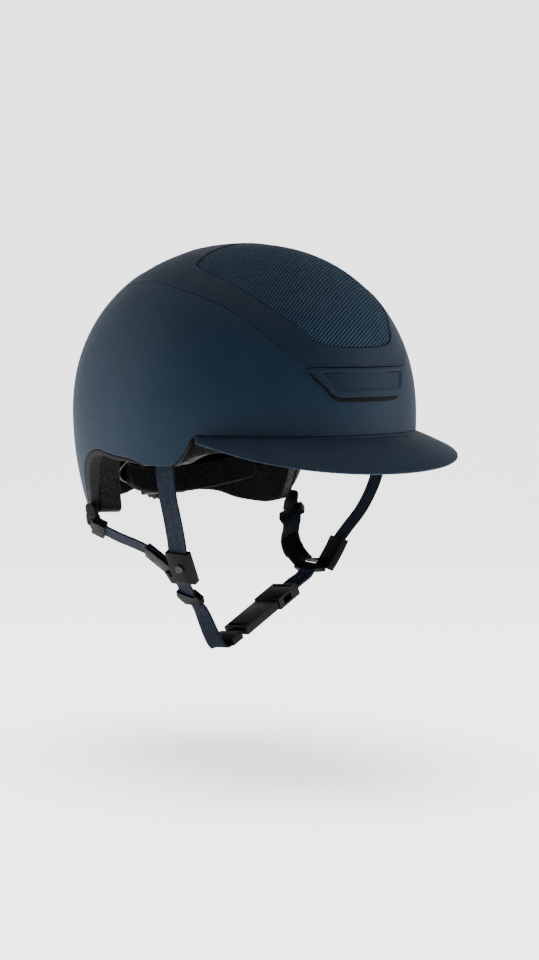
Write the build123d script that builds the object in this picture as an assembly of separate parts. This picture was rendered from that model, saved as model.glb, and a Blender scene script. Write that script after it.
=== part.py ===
from build123d import *
import os
from math import cos, pi, radians, sin, sqrt

# Riding helmet. Millimetres. The wearer faces -Y and +X is the wearer's left.
# The origin is at brow height on the centre line of the head.

# Dome of the outer shell: plan half-axes, and the height rules above and below its widest level.
HALF_WIDTH = 112.0
FRONT_REACH = 131.0
REAR_REACH = 147.0
WIDEST_Z = 20.0
CROWN_RISE = 121.0
ROUNDNESS = 2.12
SIDE_DROP = 208.0
FRONT_DROP = 270.0
REAR_DROP = 147.0
DOME_FLOOR_Z = -72.0

# Wall layers, measured inwards from the dome.
SHELL_T = 3.0
GAP = 0.3
FOAM_OUT = SHELL_T + GAP
FOAM_IN = 23.0
PAD_OUT = FOAM_IN + GAP
PAD_IN = 28.5

# Rims in side view, as (y, z) from brow to nape.
PEAK_SEAM_Z = 9.0
SHELL_RIM = [(-62, 9), (-57, 1), (-50, -8), (-41, -12.4), (-23, -12.4), (-14, -10.4), (12, -7), (34, -4),
             (46, -6), (57, -12), (64, -21), (67, -34), (70, -46), (80, -49), (92, -47), (106, -43),
             (125, -41), (152, -40)]
FOAM_RIM = [(-85, -2), (-75, -2.8), (-60, -6), (-50, -10.5), (-41, -12.4), (-23, -12.4),
            (-14, -12), (12, -10.3), (34, -7.3), (43, -9.5), (50, -16), (54, -26), (57, -40), (61, -50),
            (75, -52.5), (92, -50.5), (106, -46), (125, -43.5), (152, -42.5)]
TRIM_START_Y = -12.0
RIM_FRONT_Y = -160.0

# Raised top frame in plan, wearer's left half from front corner to tail, and its front edge height.
FRAME_HALF = [(44, -116), (55, -105), (64, -89), (71, -69), (77, -42), (78, -16), (74, 16), (71, 36),
              (67, 53), (58, 82), (46, 108), (33, 126)]
FRAME_TAIL_Y = 137.0
FRAME_FRONT_Z = 54.5
SEAM_GAP = 0.35

# Mesh grilles in plan, left half.
FRONT_GRILLE_HALF = [(34, -113.5), (43, -103), (51, -90), (58, -70), (61.5, -50), (62, -30), (58, -15),
                     (46, -10), (25, -9.5)]
FRONT_GRILLE_BACK_Y = -5.0
FRONT_GRILLE_NOSE_Y = -122.0
REAR_GRILLE_HALF = [(26, 27), (44, 28), (53, 36), (54, 52), (50, 72), (42, 92), (29, 107)]
REAR_GRILLE_FRONT_Y = 26.0
REAR_GRILLE_TAIL_Y = 113.0
GRILLE_TOP = 0.6
GRILLE_T = 2.0

# Vent cover plate on the forehead, in front view (x, z), and the air slot under it.
PLATE_TOP_HALF = 43.5
PLATE_LOW_HALF = 29.0
PLATE_TOP_Z = 54.0
PLATE_LOW_Z = 34.5
PLATE_PROUD = 2.6
BADGE_DEPTH = 0.7
SLOT_HALF = 25.0

# Peak: its outer edge is a power curve in plan that droops towards the front.
PEAK_HALF = 101.8
PEAK_ROOT_Y = -59.2
PEAK_TIP_Y = -161.1
PEAK_PLAN_POWER = 0.64
PEAK_DROOP = 20.15
PEAK_DROOP_POWER = 0.79
PEAK_EDGE_Z = 6.0
PEAK_T = 3.2

# Fit adjuster: a ring of two rack bands tilted down to the nape, and its dial.
RING_PIVOT = (0, 8, 3)
RING_TILT = -22.0
RING_CENTRE_Y = 18.0
RING_R = 80.0
BAND_T = 1.6
BAND_HALF_H = 5.0
PIN_R = 2.0
RACK_LINE = 4.0
TOOTH_COUNT = 8
TOOTH_PITCH = 2 * pi * RACK_LINE / TOOTH_COUNT
BAND_TRAVEL_DEG = 8.0
DIAL_R = 12.0
DIAL_T = 6.0
RACK_ROOT = 5.3
RACK_BACK = 7.6
RACK_TIP = 3.1
PINION_TIP = 5.0
PINION_ROOT = 2.7

# Chin harness, wearer's left side; the right side is its mirror image.
WEB_W = 16.0
WEB_T = 1.6
FRONT_EXIT = (100.6, -33.0, -13.3)
REAR_EXIT = (88.0, 52.0, -64.0)
BUCKLE_MID = (20.5, 1.3, -121.3)
BUCKLE_AXIS = (0.905, 0.192, 0.380)
HOUSING_L = 25.0
HOUSING_W = 23.0
HOUSING_T = 8.4
TONGUE_L = 40.0
INSERT_L = 16.0


def save(shape, node):
    os.makedirs("parts", exist_ok=True)
    export_step(shape, "parts/" + node + ".step")


# ---------------------------------------------------------------- dome and its cutting tools

def dome(inset):
    """Solid inside the dome surface moved inwards by inset: superellipse above, ellipses below."""
    rise = CROWN_RISE - inset
    unit = 100.0
    steps = [radians(90 * i / 10) for i in range(11)]
    outline = [(unit * cos(a) ** (2 / ROUNDNESS), 0, rise * sin(a) ** (2 / ROUNDNESS)) for a in steps[:-1]]
    outline.append((0, 0, rise))
    arch = Spline(*outline, tangents=[(0, 0, 1), (-1, 0, 0)])
    face = make_face(arch + Line((0, 0, rise), (0, 0, 0)) + Line((0, 0, 0), (unit, 0, 0)))
    back = revolve(face, Axis.Z, 180)
    front = Rot(0, 0, 180) * back
    wide = (HALF_WIDTH - inset) / unit
    back = scale(back, by=(wide, (REAR_REACH - inset) / unit, 1))
    front = scale(front, by=(wide, (FRONT_REACH - inset) / unit, 1))
    sections = []
    for i in range(6):
        drop = (WIDEST_Z - DOME_FLOOR_Z) * i / 5
        x = (HALF_WIDTH - inset) * sqrt(1 - (drop / SIDE_DROP) ** 2)
        y_front = (FRONT_REACH - inset) * sqrt(1 - (drop / FRONT_DROP) ** 2)
        y_back = (REAR_REACH - inset) * sqrt(1 - (drop / REAR_DROP) ** 2)
        sections.append(half_ellipses(x, y_front, y_back, -drop))
    skirt = loft(sections)
    return Pos(0, 0, WIDEST_Z) * (back + front + skirt)


def half_ellipses(x, y_front, y_back, z):
    """Flat egg shape at height z: one half-ellipse towards the front and one towards the back."""
    back = EllipticalCenterArc((0, 0), x, y_back, start_angle=0, arc_size=180)
    front = EllipticalCenterArc((0, 0), x, y_front, start_angle=180, arc_size=180)
    return Pos(0, 0, z) * make_face(back + front)


def above_rim(points, top=200.0):
    """Block of everything above a side-view rim line, which runs level in front of its first point."""
    rim = Spline(*[(0, y, z) for y, z in points])
    y0, z0 = points[0]
    y1, z1 = points[-1]
    frame = Polyline((0, y1, z1), (0, y1, top), (0, RIM_FRONT_Y, top), (0, RIM_FRONT_Y, z0), (0, y0, z0))
    return extrude(make_face(rim + frame), 300, dir=(1, 0, 0), both=True)


def plan_block(half, front_mid, back_mid, low, shrink=0.0):
    """Upright block over a plan outline, given by its left half and its two centre-line points."""
    centre = (half[0][1] + half[-1][1]) / 2
    points = [towards(p, centre, shrink) for p in half]
    first = towards((0, front_mid), centre, shrink)[1]
    last = towards((0, back_mid), centre, shrink)[1]
    left = Spline(*points)
    right = mirror(left, Plane.YZ)
    near_end = ThreePointArc(points[0], (0, first), (-points[0][0], points[0][1]))
    far_end = ThreePointArc(points[-1], (0, last), (-points[-1][0], points[-1][1]))
    face = make_face(left + right + near_end + far_end)
    return Pos(0, 0, low) * extrude(face, 200, dir=(0, 0, 1))


def towards(point, centre, step):
    """Plan point moved by step towards (0, centre)."""
    x, y = point
    far = sqrt(x * x + (y - centre) ** 2)
    return x - x * step / far, y - (y - centre) * step / far


def frame_block(shrink=0.0):
    return plan_block(FRAME_HALF, -160, FRAME_TAIL_Y, FRAME_FRONT_Z + shrink, shrink)


def front_grille_block(shrink=0.0):
    return plan_block(FRONT_GRILLE_HALF, FRONT_GRILLE_NOSE_Y, FRONT_GRILLE_BACK_Y, 50, shrink)


def rear_grille_block(shrink=0.0):
    return plan_block(REAR_GRILLE_HALF, REAR_GRILLE_FRONT_Y, REAR_GRILLE_TAIL_Y, 40, shrink)


def front_view_block(points, depth):
    """Block in front of the head over an outline drawn in front view (x, z)."""
    face = make_face(Polyline(*[(x, 0, z) for x, z in points], close=True))
    return extrude(face, depth, dir=(0, -1, 0))


# ---------------------------------------------------------------- shell group

def plate_outline(shrink):
    top = PLATE_TOP_HALF - shrink
    low = PLATE_LOW_HALF - shrink
    corner = 4.0
    return [(-top, PLATE_TOP_Z - shrink), (top, PLATE_TOP_Z - shrink),
            (low + corner, PLATE_LOW_Z + corner + shrink), (low - corner, PLATE_LOW_Z + shrink),
            (corner - low, PLATE_LOW_Z + shrink), (-low - corner, PLATE_LOW_Z + corner + shrink)]


def air_slot():
    return Pos(0, -125, 41) * Box(2 * SLOT_HALF, 50, 10)


def make_shell_group():
    wall = dome(0) - dome(SHELL_T)
    save((wall & above_rim(SHELL_RIM)) - frame_block() - air_slot(), "outer_shell")
    frame = (wall & frame_block(SEAM_GAP)) - front_grille_block() - rear_grille_block()
    save(frame, "top_frame")
    mesh = dome(GRILLE_TOP) - dome(GRILLE_TOP + GRILLE_T)
    save(mesh & front_grille_block(SEAM_GAP), "front_grille")
    save(mesh & rear_grille_block(SEAM_GAP), "rear_grille")
    proud = dome(-PLATE_PROUD)
    plate = (proud - dome(-GAP)) & front_view_block(plate_outline(0), 200)
    badge = (proud - dome(BADGE_DEPTH - PLATE_PROUD)) & front_view_block(plate_outline(6.5), 200)
    save(plate - badge, "front_vent_cover")


def make_vent_duct():
    """Black insert behind the air slot: a shallow tray divided by upright vanes."""
    layer = dome(SHELL_T + GAP) - dome(SHELL_T + 3.0)
    tray = layer & Pos(0, -125, 42) * Box(2 * SLOT_HALF + 16, 60, 24)
    tray -= Pos(0, -125, 41) * Box(2 * SLOT_HALF - 2, 60, 9)
    for x in (-16, 0, 16):
        tray += layer & Pos(x, -125, 42) * Box(1.6, 60, 24)
    save(tray, "vent_duct")


def make_peak():
    """Brim and the band that carries it; the band is a strip of the dome's own wall."""
    band_low = [(-85, 0), (-76, 1.0), (-67, 4.5), (-63, 8.2)]
    band = (dome(0) - dome(SHELL_T)) & above_rim(band_low, PEAK_SEAM_Z - SEAM_GAP)
    save(band + brim(), "peak")


def brim():
    """Loft of upright sections from the wall out to the peak's edge curve."""
    sections = []
    count = 16
    for i in range(count + 1):
        turn = radians(-90 + 180 * i / count) * 0.985
        root_turn = turn * 62.6 / 90
        ease = cos(turn)
        root = ((HALF_WIDTH - 1.2) * sin(root_turn), -(FRONT_REACH - 1.2) * cos(root_turn))
        plan = ease ** PEAK_PLAN_POWER
        tip = (PEAK_HALF * sin(turn), PEAK_ROOT_Y + (PEAK_TIP_Y - PEAK_ROOT_Y) * plan)
        tip_z = PEAK_EDGE_Z - PEAK_DROOP * ease ** PEAK_DROOP_POWER
        root_z = PEAK_SEAM_Z - SEAM_GAP
        mid = ((root[0] + tip[0]) / 2, (root[1] + tip[1]) / 2)
        mid_z = (root_z + tip_z) / 2 + 1.6 * ease
        low_root = root_z - 1.2 - PEAK_T * ease
        low_mid = mid_z - 1.2 - (PEAK_T - 1.2) * ease
        low_tip = tip_z - 1.2 - 0.6 * ease
        top = [(*root, root_z), (*mid, mid_z), (*tip, tip_z)]
        under = [(*tip, low_tip), (*mid, low_mid), (*root, low_root)]
        sections.append(make_face(Polyline(*top, *under, close=True)))
    return loft(sections)


def make_edge_trim():
    """Rubber edging that caps the shell and foam along the ear arches and the nape."""
    ring = dome(0.25) - dome(8.0)
    ring &= above_rim(FOAM_RIM)
    ring -= Pos(0, 0, -0.2) * above_rim(SHELL_RIM)
    save(ring & Pos(0, 100 + TRIM_START_Y, 0) * Box(400, 200, 200), "edge_trim")


# ---------------------------------------------------------------- foam and pads

def make_foam_liner():
    foam = (dome(FOAM_OUT) - dome(FOAM_IN)) & Pos(0, 0, 0.2) * above_rim(FOAM_RIM)
    rebate = dome(SHELL_T) - dome(8.3)
    rebate -= Pos(0, 0, 0.2) * above_rim(SHELL_RIM)
    foam -= rebate & Pos(0, 100 + TRIM_START_Y - 0.5, 0) * Box(400, 200, 200)
    for x in (-24, 0, 24):
        foam -= Pos(x, -62, 100) * Box(11, 64, 120)
        foam -= Pos(x * 0.8, 68, 100) * Box(9, 44, 120)
    foam -= Pos(0, -128, 41) * Box(2 * SLOT_HALF - 4, 60, 8)
    foam -= (dome(SHELL_T) - dome(SHELL_T + 3.3)) & Pos(0, -125, 42) * Box(2 * SLOT_HALF + 17, 60, 25)
    for side in (-1, 1):
        foam -= Pos(side * 104, FRONT_EXIT[1], 12) * Box(14, 22, 60)
    foam -= Pos(0, 112, -35) * Box(54, 30, 44)
    save(foam, "foam_liner")


def make_pads():
    """Removable comfort pads: closed soft pieces, each a slice of one thin layer."""
    layer = dome(PAD_OUT) - dome(PAD_IN)
    save(layer & Pos(0, -110, 9) * Box(400, 130, 26), "brow_pad")
    crown = layer & Pos(0, 0, 50) * extrude(Ellipse(44, 62), 120)
    for x in (-24, 0, 24):
        crown -= Pos(x, -62, 100) * Box(9, 40, 120)
    save(crown, "crown_pad")
    for side, word in ((1, "left"), (-1, "right")):
        save(layer & Pos(side * 80, 12, 32) * Box(60, 60, 30), "side_pad_" + word)


# ---------------------------------------------------------------- fit adjuster

def arc_band(r0, r1, z0, z1, a0, a1):
    """Piece of a ring: radii, heights and its start and end angle in degrees from +X."""
    face = Plane.XZ * Pos((r0 + r1) / 2, (z0 + z1) / 2) * Rectangle(r1 - r0, z1 - z0)
    return Rot(0, 0, a0) * revolve(face, Axis.Z, a1 - a0)


def in_ring(shape):
    """From the ring's own flat frame, centred on its arc, to the helmet."""
    return Pos(*RING_PIVOT) * Rot(RING_TILT, 0, 0) * Pos(0, RING_CENTRE_Y, 0) * shape


def left_band():
    inner = RING_R
    outer = RING_R + BAND_T
    band = arc_band(inner, outer, -BAND_HALF_H, BAND_HALF_H, -26, 57)
    band += arc_band(inner, outer, -RACK_BACK, BAND_HALF_H, 53, 59)
    band += arc_band(inner, outer, -RACK_BACK, -RACK_ROOT, 57, 103)
    step = TOOTH_PITCH / RING_R * 180 / pi
    for i in range(12):
        at = 90 + (i - 5.5) * step
        tooth = Polyline((-0.65, -RACK_ROOT - 0.1), (0.65, -RACK_ROOT - 0.1), (0.3, -RACK_TIP),
                         (-0.3, -RACK_TIP), close=True)
        blade = extrude(Plane.XZ.offset(-RING_R) * make_face(tooth), -BAND_T)
        band += Rot(0, 0, at - 90) * blade
    band -= arc_band(RING_R - 3, RING_R + 5, -2.4, 2.4, -23, -3)
    return band


def make_bands():
    band = left_band()
    save(in_ring(band), "rack_band_left")
    save(in_ring(Rot(0, 180, 0) * band), "rack_band_right")


def along_ring_y(shape, distance):
    """Place a shape modelled on +Z so that it stands on the ring's rearward axis."""
    return Pos(0, distance, 0) * Rot(-90, 0, 0) * shape


def pinion_profile():
    points = []
    for i in range(TOOTH_COUNT):
        at = 2 * pi * i / TOOTH_COUNT
        for r, half in ((PINION_ROOT, 0.36), (PINION_TIP, 0.07), (PINION_TIP, -0.07), (PINION_ROOT, -0.36)):
            points.append((r * cos(at - half), r * sin(at - half)))
    return make_face(Polyline(*points, close=True))


def make_adjuster():
    """Housing on the nape with its cover, pinion, dial and screw; bands cross inside it."""
    front = RING_R - 3.4
    back = RING_R + 4.6
    case = Pos(0, (front + back) / 2, 0) * Box(40, back - front, 21)
    case -= arc_band(RING_R - 0.5, RING_R + BAND_T + 0.5, -8.1, 8.1, 40, 140)
    case -= along_ring_y(Cylinder(5.6, 8), RING_R + 1.4)
    case -= along_ring_y(Cylinder(2.3, 20), back)
    save(in_ring(case), "adjuster_housing")
    cover = Pos(0, back + 1.0, 0) * Box(38, 1.4, 19)
    cover -= along_ring_y(Cylinder(2.3, 20), back)
    save(in_ring(cover), "adjuster_cover")
    gear = extrude(pinion_profile(), 3.6, both=False)
    gear = along_ring_y(gear, RING_R - 1.0)
    shaft = along_ring_y(Cylinder(2.0, 5.2, align=(Align.CENTER, Align.CENTER, Align.MIN)), RING_R + 2.6)
    save(in_ring(gear + shaft), "adjuster_pinion")
    dial = Cylinder(DIAL_R, DIAL_T, align=(Align.CENTER, Align.CENTER, Align.MIN))
    for i in range(16):
        dial -= Rot(0, 0, 360 * i / 16) * Pos(DIAL_R + 0.6, 0, 0) * Cylinder(1.6, 20)
    dial -= Pos(0, 0, 4) * Cylinder(3.0, 8, align=(Align.CENTER, Align.CENTER, Align.MIN))
    save(in_ring(along_ring_y(dial, RING_R + 7.8)), "adjuster_dial")
    screw = Cylinder(2.6, 1.8, align=(Align.CENTER, Align.CENTER, Align.MIN))
    screw -= Pos(0, 0, 1.6) * Box(3.6, 0.8, 1.6)
    save(in_ring(along_ring_y(screw, RING_R + 11.8)), "dial_screw")
    save(in_ring(arc_band(72, 76.3, -13, 7, 34, 146)), "nape_pad")


def make_temple_pins():
    """Headed pins that carry the rack bands at the temples."""
    pins = []
    for side in (-1, 1):
        pin = Cylinder(PIN_R, 13, align=(Align.CENTER, Align.CENTER, Align.MIN))
        pin += Cylinder(4.0, 1.5, align=(Align.CENTER, Align.CENTER, Align.MIN))
        pin += Pos(0, 0, 11.5) * Cylinder(6.0, 1.5, align=(Align.CENTER, Align.CENTER, Align.MIN))
        pins.append(Pos(*RING_PIVOT) * Rot(0, side * 90, 0) * Pos(0, 0, 75.0) * pin)
    save(Compound(children=pins), "temple_pins")


# ---------------------------------------------------------------- harness

def ribbon(stations, width, thick):
    """Flat band lofted through stations of (point, direction across the band)."""
    points = [Vector(*p) for p, _ in stations]
    faces = []
    for i, (point, across) in enumerate(stations):
        ahead = points[min(i + 1, len(points) - 1)] - points[max(i - 1, 0)]
        run = ahead.normalized()
        side = Vector(*across)
        side = (side - run * side.dot(run)).normalized()
        faces.append(Plane(origin=point, x_dir=side, z_dir=run) * Rectangle(width, thick))
    return loft(faces)


def moved_on(point, target, distance):
    """Point moved towards a target by a distance."""
    start = Vector(*point)
    step = (Vector(*target) - start).normalized() * distance
    return tuple(start + step)


FRONT_ACROSS_TOP = (-0.19, -0.98, 0)
FRONT_ACROSS_LOW = (-0.28, -0.95, -0.15)
REAR_ACROSS = (0.468, -0.75, 0.468)
FRONT_PATH = [FRONT_EXIT, (96.5, -31, -33), (88.5, -26.5, -52), (80, -19.5, -67), (75.3, -15.2, -76),
              (71.5, -14, -84)]
REAR_PATH = [REAR_EXIT, (81, 44, -69), (73, 36.5, -73.5), (66.5, 29.5, -78), (62.5, 23, -82.5)]


def front_stations(start_shift=0.0):
    points = [moved_on(FRONT_PATH[0], FRONT_PATH[1], start_shift)] + FRONT_PATH[1:]
    across = [FRONT_ACROSS_TOP] * 2 + [FRONT_ACROSS_LOW] * (len(points) - 2)
    return list(zip(points, across))


def rear_stations(start_shift=0.0):
    points = [moved_on(REAR_PATH[0], REAR_PATH[1], start_shift)] + REAR_PATH[1:]
    return [(p, REAR_ACROSS) for p in points]


def divider():
    """V-shaped moulding: a sleeve for each strap, joined by a foot with a slot for the chin strap."""
    front_arm = [((75.9, -15.4, -74.8), FRONT_ACROSS_LOW), ((71.3, -14, -84), FRONT_ACROSS_LOW),
                 ((64.5, -11, -96), FRONT_ACROSS_LOW)]
    rear_arm = [((67.3, 30.4, -77.3), REAR_ACROSS), ((62.5, 20, -85), REAR_ACROSS),
                ((60, 6, -93), REAR_ACROSS)]
    foot = [((60.2, 13, -95), (0.589, 0, 0.808)), ((61, -2, -95), (0.589, 0, 0.808)),
            ((63, -14, -93.5), (0.589, 0, 0.808))]
    body = ribbon(front_arm, 19.6, 5.2) + ribbon(rear_arm, 14, 5.2) + ribbon(foot, 9.6, 5.2)
    body -= ribbon(front_stations(), WEB_W + 0.8, WEB_T + 0.8)
    body -= ribbon(rear_stations(), WEB_W + 0.8, WEB_T + 0.8)
    slot = Plane(origin=(61.2, 0.5, -92.3), x_dir=(0.11, -0.99, -0.08), z_dir=(0.8, 0.136, -0.583))
    body -= slot * Box(17, 2.6, 20)
    return body


def right_of(shape):
    return mirror(shape, Plane.YZ)


def make_straps():
    front = ribbon(front_stations(4.6), WEB_W, WEB_T)
    rear = ribbon(rear_stations(5.2), WEB_W, WEB_T)
    frame = divider()
    for word, place in (("left", lambda s: s), ("right", right_of)):
        save(place(front), "front_strap_" + word)
        save(place(rear), "rear_strap_" + word)
        save(place(frame), "strap_divider_" + word)
        save(place(stud()), "divider_stud_" + word)
        save(place(guide()), "rear_strap_guide_" + word)
    roots = [strap_root_front(), strap_root_rear()]
    save(Compound(children=roots + [right_of(s) for s in roots]), "strap_roots")
    plate = Pos(100.6, FRONT_EXIT[1], 29) * Box(2.4, 20, 9)
    save(Compound(children=[plate, right_of(plate)]), "strap_anchors")


def stud():
    face = Plane(origin=(71.0, -13.6, -86.0), x_dir=(0.11, -0.99, -0.08), z_dir=(0.87, -0.3, -0.39))
    return face.offset(3.4) * Cylinder(3.2, 1.2)


def strap_root_front():
    x, y, z = FRONT_EXIT
    return ribbon([((x, y, z + 0.2), (0, 1, 0)), ((101.2, y, 5), (0, 1, 0)), ((101.2, y, 24), (0, 1, 0))],
                  WEB_W, WEB_T)


def strap_root_rear():
    back = moved_on(REAR_EXIT, REAR_PATH[1], -9.0)
    return ribbon([(back, REAR_ACROSS), (moved_on(REAR_EXIT, REAR_PATH[1], -0.3), REAR_ACROSS)], WEB_W, WEB_T)


def guide():
    """Sleeve hung under the nape corner of the shell, where the rear strap comes out."""
    back = moved_on(REAR_EXIT, REAR_PATH[1], -10.0)
    sleeve = ribbon([(back, REAR_ACROSS), (REAR_EXIT, REAR_ACROSS)], 20, 5.6)
    tab = Pos(93.2, 59.6, -56.5) * Rot(0, 12, 0) * Box(3.4, 13, 8)
    bore = ribbon([(moved_on(back, REAR_EXIT, -4), REAR_ACROSS), (moved_on(REAR_EXIT, back, -4), REAR_ACROSS)],
                  WEB_W + 0.8, WEB_T + 0.8)
    return sleeve + tab - bore


# ---------------------------------------------------------------- chin strap and buckle

BUCKLE = Plane(origin=BUCKLE_MID, x_dir=BUCKLE_AXIS, z_dir=(-0.387, 0.0, 0.922))


def block(x0, x1, y0, y1, thick):
    return Pos((x0 + x1) / 2, (y0 + y1) / 2, 0) * Box(x1 - x0, y1 - y0, thick)


def make_buckle():
    half = HOUSING_W / 2
    tongue = block(-TONGUE_L, -0.4, 1 - half, half - 1, 6.4)
    tongue -= block(-TONGUE_L + 2.5, -TONGUE_L + 6.5, -8.6, 8.6, 20)
    tongue += block(-1, INSERT_L, -2.4, 2.4, 2.8)
    for side in (-1, 1):
        tongue += Pos(0, side * 7.2, 0) * block(-1, INSERT_L + 0.6, -1.1, 1.1, 2.8)
    save(BUCKLE * tongue, "buckle_tongue")
    housing = block(0, HOUSING_L, -half, half, HOUSING_T)
    housing -= block(-1, INSERT_L + 2.5, -9.6, 9.6, 5.6)
    housing -= block(6, 15, -half - 1, half + 1, 4.4)
    housing -= block(HOUSING_L - 5.0, HOUSING_L - 2.2, -8.6, 8.6, 20)
    save(BUCKLE * housing, "buckle_housing")


def make_chin_straps():
    along_y = (0, 1, 0)
    end_across = (-0.177, 0.982, -0.074)
    near_tongue = [tuple(BUCKLE.from_local_coords(Vector(-TONGUE_L - x, 0, 0))) for x in (22, 4, 0.4)]
    right = [((-57, 1, -101.4), along_y), ((-50, 3, -110), along_y), ((-42, 2, -119), along_y)]
    right += [(p, end_across) for p in near_tongue]
    save(ribbon(right, WEB_W, WEB_T), "chin_strap_right")
    near_housing = [tuple(BUCKLE.from_local_coords(Vector(HOUSING_L + x, 0, 0))) for x in (0.4, 3.4)]
    left = [(p, end_across) for p in near_housing] + [((51, 4.2, -106.6), along_y), ((55, 2.2, -103.2), along_y)]
    save(ribbon(left, WEB_W, 2 * WEB_T), "chin_strap_left")
    outline = Polyline((-13, 0), (-9, 6.5), (9, 6.5), (13, 0), (9, -6.5), (-9, -6.5), close=True)
    plate = Plane(origin=(-50, 3, -110), x_dir=(0, 1, 0), z_dir=(-0.75, 0, -0.66))
    opening = ribbon(right, WEB_W + 1.6, WEB_T + 1.8)
    save(plate * extrude(make_face(outline), 2.4, both=True) - opening, "strap_slider")
    keeper = ribbon([(tuple(BUCKLE.from_local_coords(Vector(-TONGUE_L - x, 0, 0))), end_across) for x in (17, 5)],
                    20, 5.4)
    save(keeper - opening, "strap_keeper")


if __name__ == "__main__":
    make_shell_group()
    make_vent_duct()
    make_peak()
    make_edge_trim()
    make_foam_liner()
    make_pads()
    make_bands()
    make_adjuster()
    make_temple_pins()
    make_straps()
    make_buckle()
    make_chin_straps()
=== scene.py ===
import bmesh
import bpy
import numpy as np
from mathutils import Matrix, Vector


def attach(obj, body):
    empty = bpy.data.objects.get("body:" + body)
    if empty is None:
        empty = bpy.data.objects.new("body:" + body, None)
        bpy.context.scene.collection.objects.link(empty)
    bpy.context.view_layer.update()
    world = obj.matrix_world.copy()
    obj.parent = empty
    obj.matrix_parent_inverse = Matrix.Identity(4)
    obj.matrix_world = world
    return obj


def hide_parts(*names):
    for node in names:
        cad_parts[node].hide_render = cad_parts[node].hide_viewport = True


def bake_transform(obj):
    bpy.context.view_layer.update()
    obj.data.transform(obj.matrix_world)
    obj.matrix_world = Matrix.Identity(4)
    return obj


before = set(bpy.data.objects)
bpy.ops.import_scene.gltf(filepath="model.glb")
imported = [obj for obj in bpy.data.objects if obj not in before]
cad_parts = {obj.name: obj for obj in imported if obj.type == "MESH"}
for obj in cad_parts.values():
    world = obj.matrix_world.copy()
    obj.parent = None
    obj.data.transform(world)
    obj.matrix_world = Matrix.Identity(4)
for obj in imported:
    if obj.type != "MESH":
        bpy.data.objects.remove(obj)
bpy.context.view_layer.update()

# ------------------------------------------------------------------ outer shell
# The hard side shell wraps from the crown seam down to the peak, the ear arches and the nape.
# It is one injection moulding 3 mm thick with eased edges, sprayed with a soft-touch navy lacquer
# that reads matte, with a fine pebble and a pale bloom at grazing angles.

HALF_WIDTH, FRONT_REACH, REAR_REACH = 112.0, 131.0, 147.0
WIDEST_Z, CROWN_RISE, ROUND_POWER = 20.0, 121.0, 2.12
SIDE_DROP, FRONT_DROP, REAR_DROP = 208.0, 270.0, 147.0
DROP_PER_DEGREE = 1.9
SHELL_T = 3.0
PEAK_SEAM_Z = 9.0
FRAME_FRONT_Z = 54.5
SHELL_RIM = [(-62, 9), (-57, 1), (-50, -8), (-41, -12.4), (-23, -12.4), (-14, -10.4), (12, -7),
             (34, -4), (46, -6), (57, -12), (64, -21), (67, -34), (70, -46), (80, -49), (92, -47),
             (106, -43), (125, -41), (134, -40.6)]
FRAME_SEAM = [(55, -105), (64, -89), (71, -69), (77, -42), (78, -16), (74, 16), (71, 36),
              (67, 53), (58, 82), (46, 108), (33, 126), (17, 134.5), (0, 137)]


def dome(place, inset=0.0):
    """Points of the helmet's dome in mm. A place is (p, q) on a flat map centred on the crown, in
    degrees of fall, p to the wearer's left and q to the back. Down to 90 degrees the plan spreads
    as sin(fall) and the height as cos(fall), both to the power 2 / 2.12; from there each degree
    drops 1.9 mm and sides, front and rear draw in on ellipses. inset moves the wall inwards."""
    p, q = place[..., 0], place[..., 1]
    fall, turn = np.hypot(p, q), np.arctan2(p, -q)
    upper = np.radians(np.minimum(fall, 90.0))
    drop = np.maximum(fall - 90.0, 0.0) * DROP_PER_DEGREE
    spread = np.abs(np.sin(upper)) ** (2 / ROUND_POWER)
    height = np.abs(np.cos(upper)) ** (2 / ROUND_POWER)
    ahead = np.cos(turn) > 0
    reach = np.where(ahead, FRONT_REACH, REAR_REACH) - inset
    ends = np.sqrt(1 - (drop / np.where(ahead, FRONT_DROP, REAR_DROP)) ** 2)
    sides = np.sqrt(1 - (drop / SIDE_DROP) ** 2)
    x = (HALF_WIDTH - inset) * spread * sides * np.sin(turn)
    y = -reach * spread * ends * np.cos(turn)
    return np.stack([x, y, WIDEST_Z + (CROWN_RISE - inset) * height - drop], axis=-1)


def fall_at(z):
    """Fall in degrees of the level z: the dome's height rule turned round."""
    share = np.clip((z - WIDEST_Z) / CROWN_RISE, 0, 1) ** (ROUND_POWER / 2)
    return np.where(z > WIDEST_Z, np.degrees(np.arccos(share)), 90 + (WIDEST_Z - z) / DROP_PER_DEGREE)


def polar(turn, fall):
    """Map places from turn, in degrees from the forehead towards the left, and fall."""
    return np.stack([fall * np.sin(np.radians(turn)), -fall * np.cos(np.radians(turn))], axis=-1)


def seen_from_above(points):
    """Map places of plan points (x, y): the plan radius over the half-axes gives the fall."""
    x, y = np.asarray(points, float).T
    a, b = x / HALF_WIDTH, y / np.where(y < 0, FRONT_REACH, REAR_REACH)
    fall = np.degrees(np.arcsin(np.minimum(np.hypot(a, b), 1) ** (ROUND_POWER / 2)))
    return polar(np.degrees(np.arctan2(a, -b)), fall)


def seen_from_left(points):
    """Map places of side-view points (y, z): z gives the fall, and y over the reach the turn."""
    y, z = np.asarray(points, float).T
    fall = fall_at(z)
    drop = np.maximum(WIDEST_Z - z, 0)
    spread = np.sin(np.radians(np.minimum(fall, 90))) ** (2 / ROUND_POWER)
    reach = np.where(y < 0, FRONT_REACH, REAR_REACH) * spread
    reach = reach * np.sqrt(1 - (drop / np.where(y < 0, FRONT_DROP, REAR_DROP)) ** 2)
    return polar(np.degrees(np.arccos(np.clip(-y / reach, -1, 1))), fall)


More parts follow.
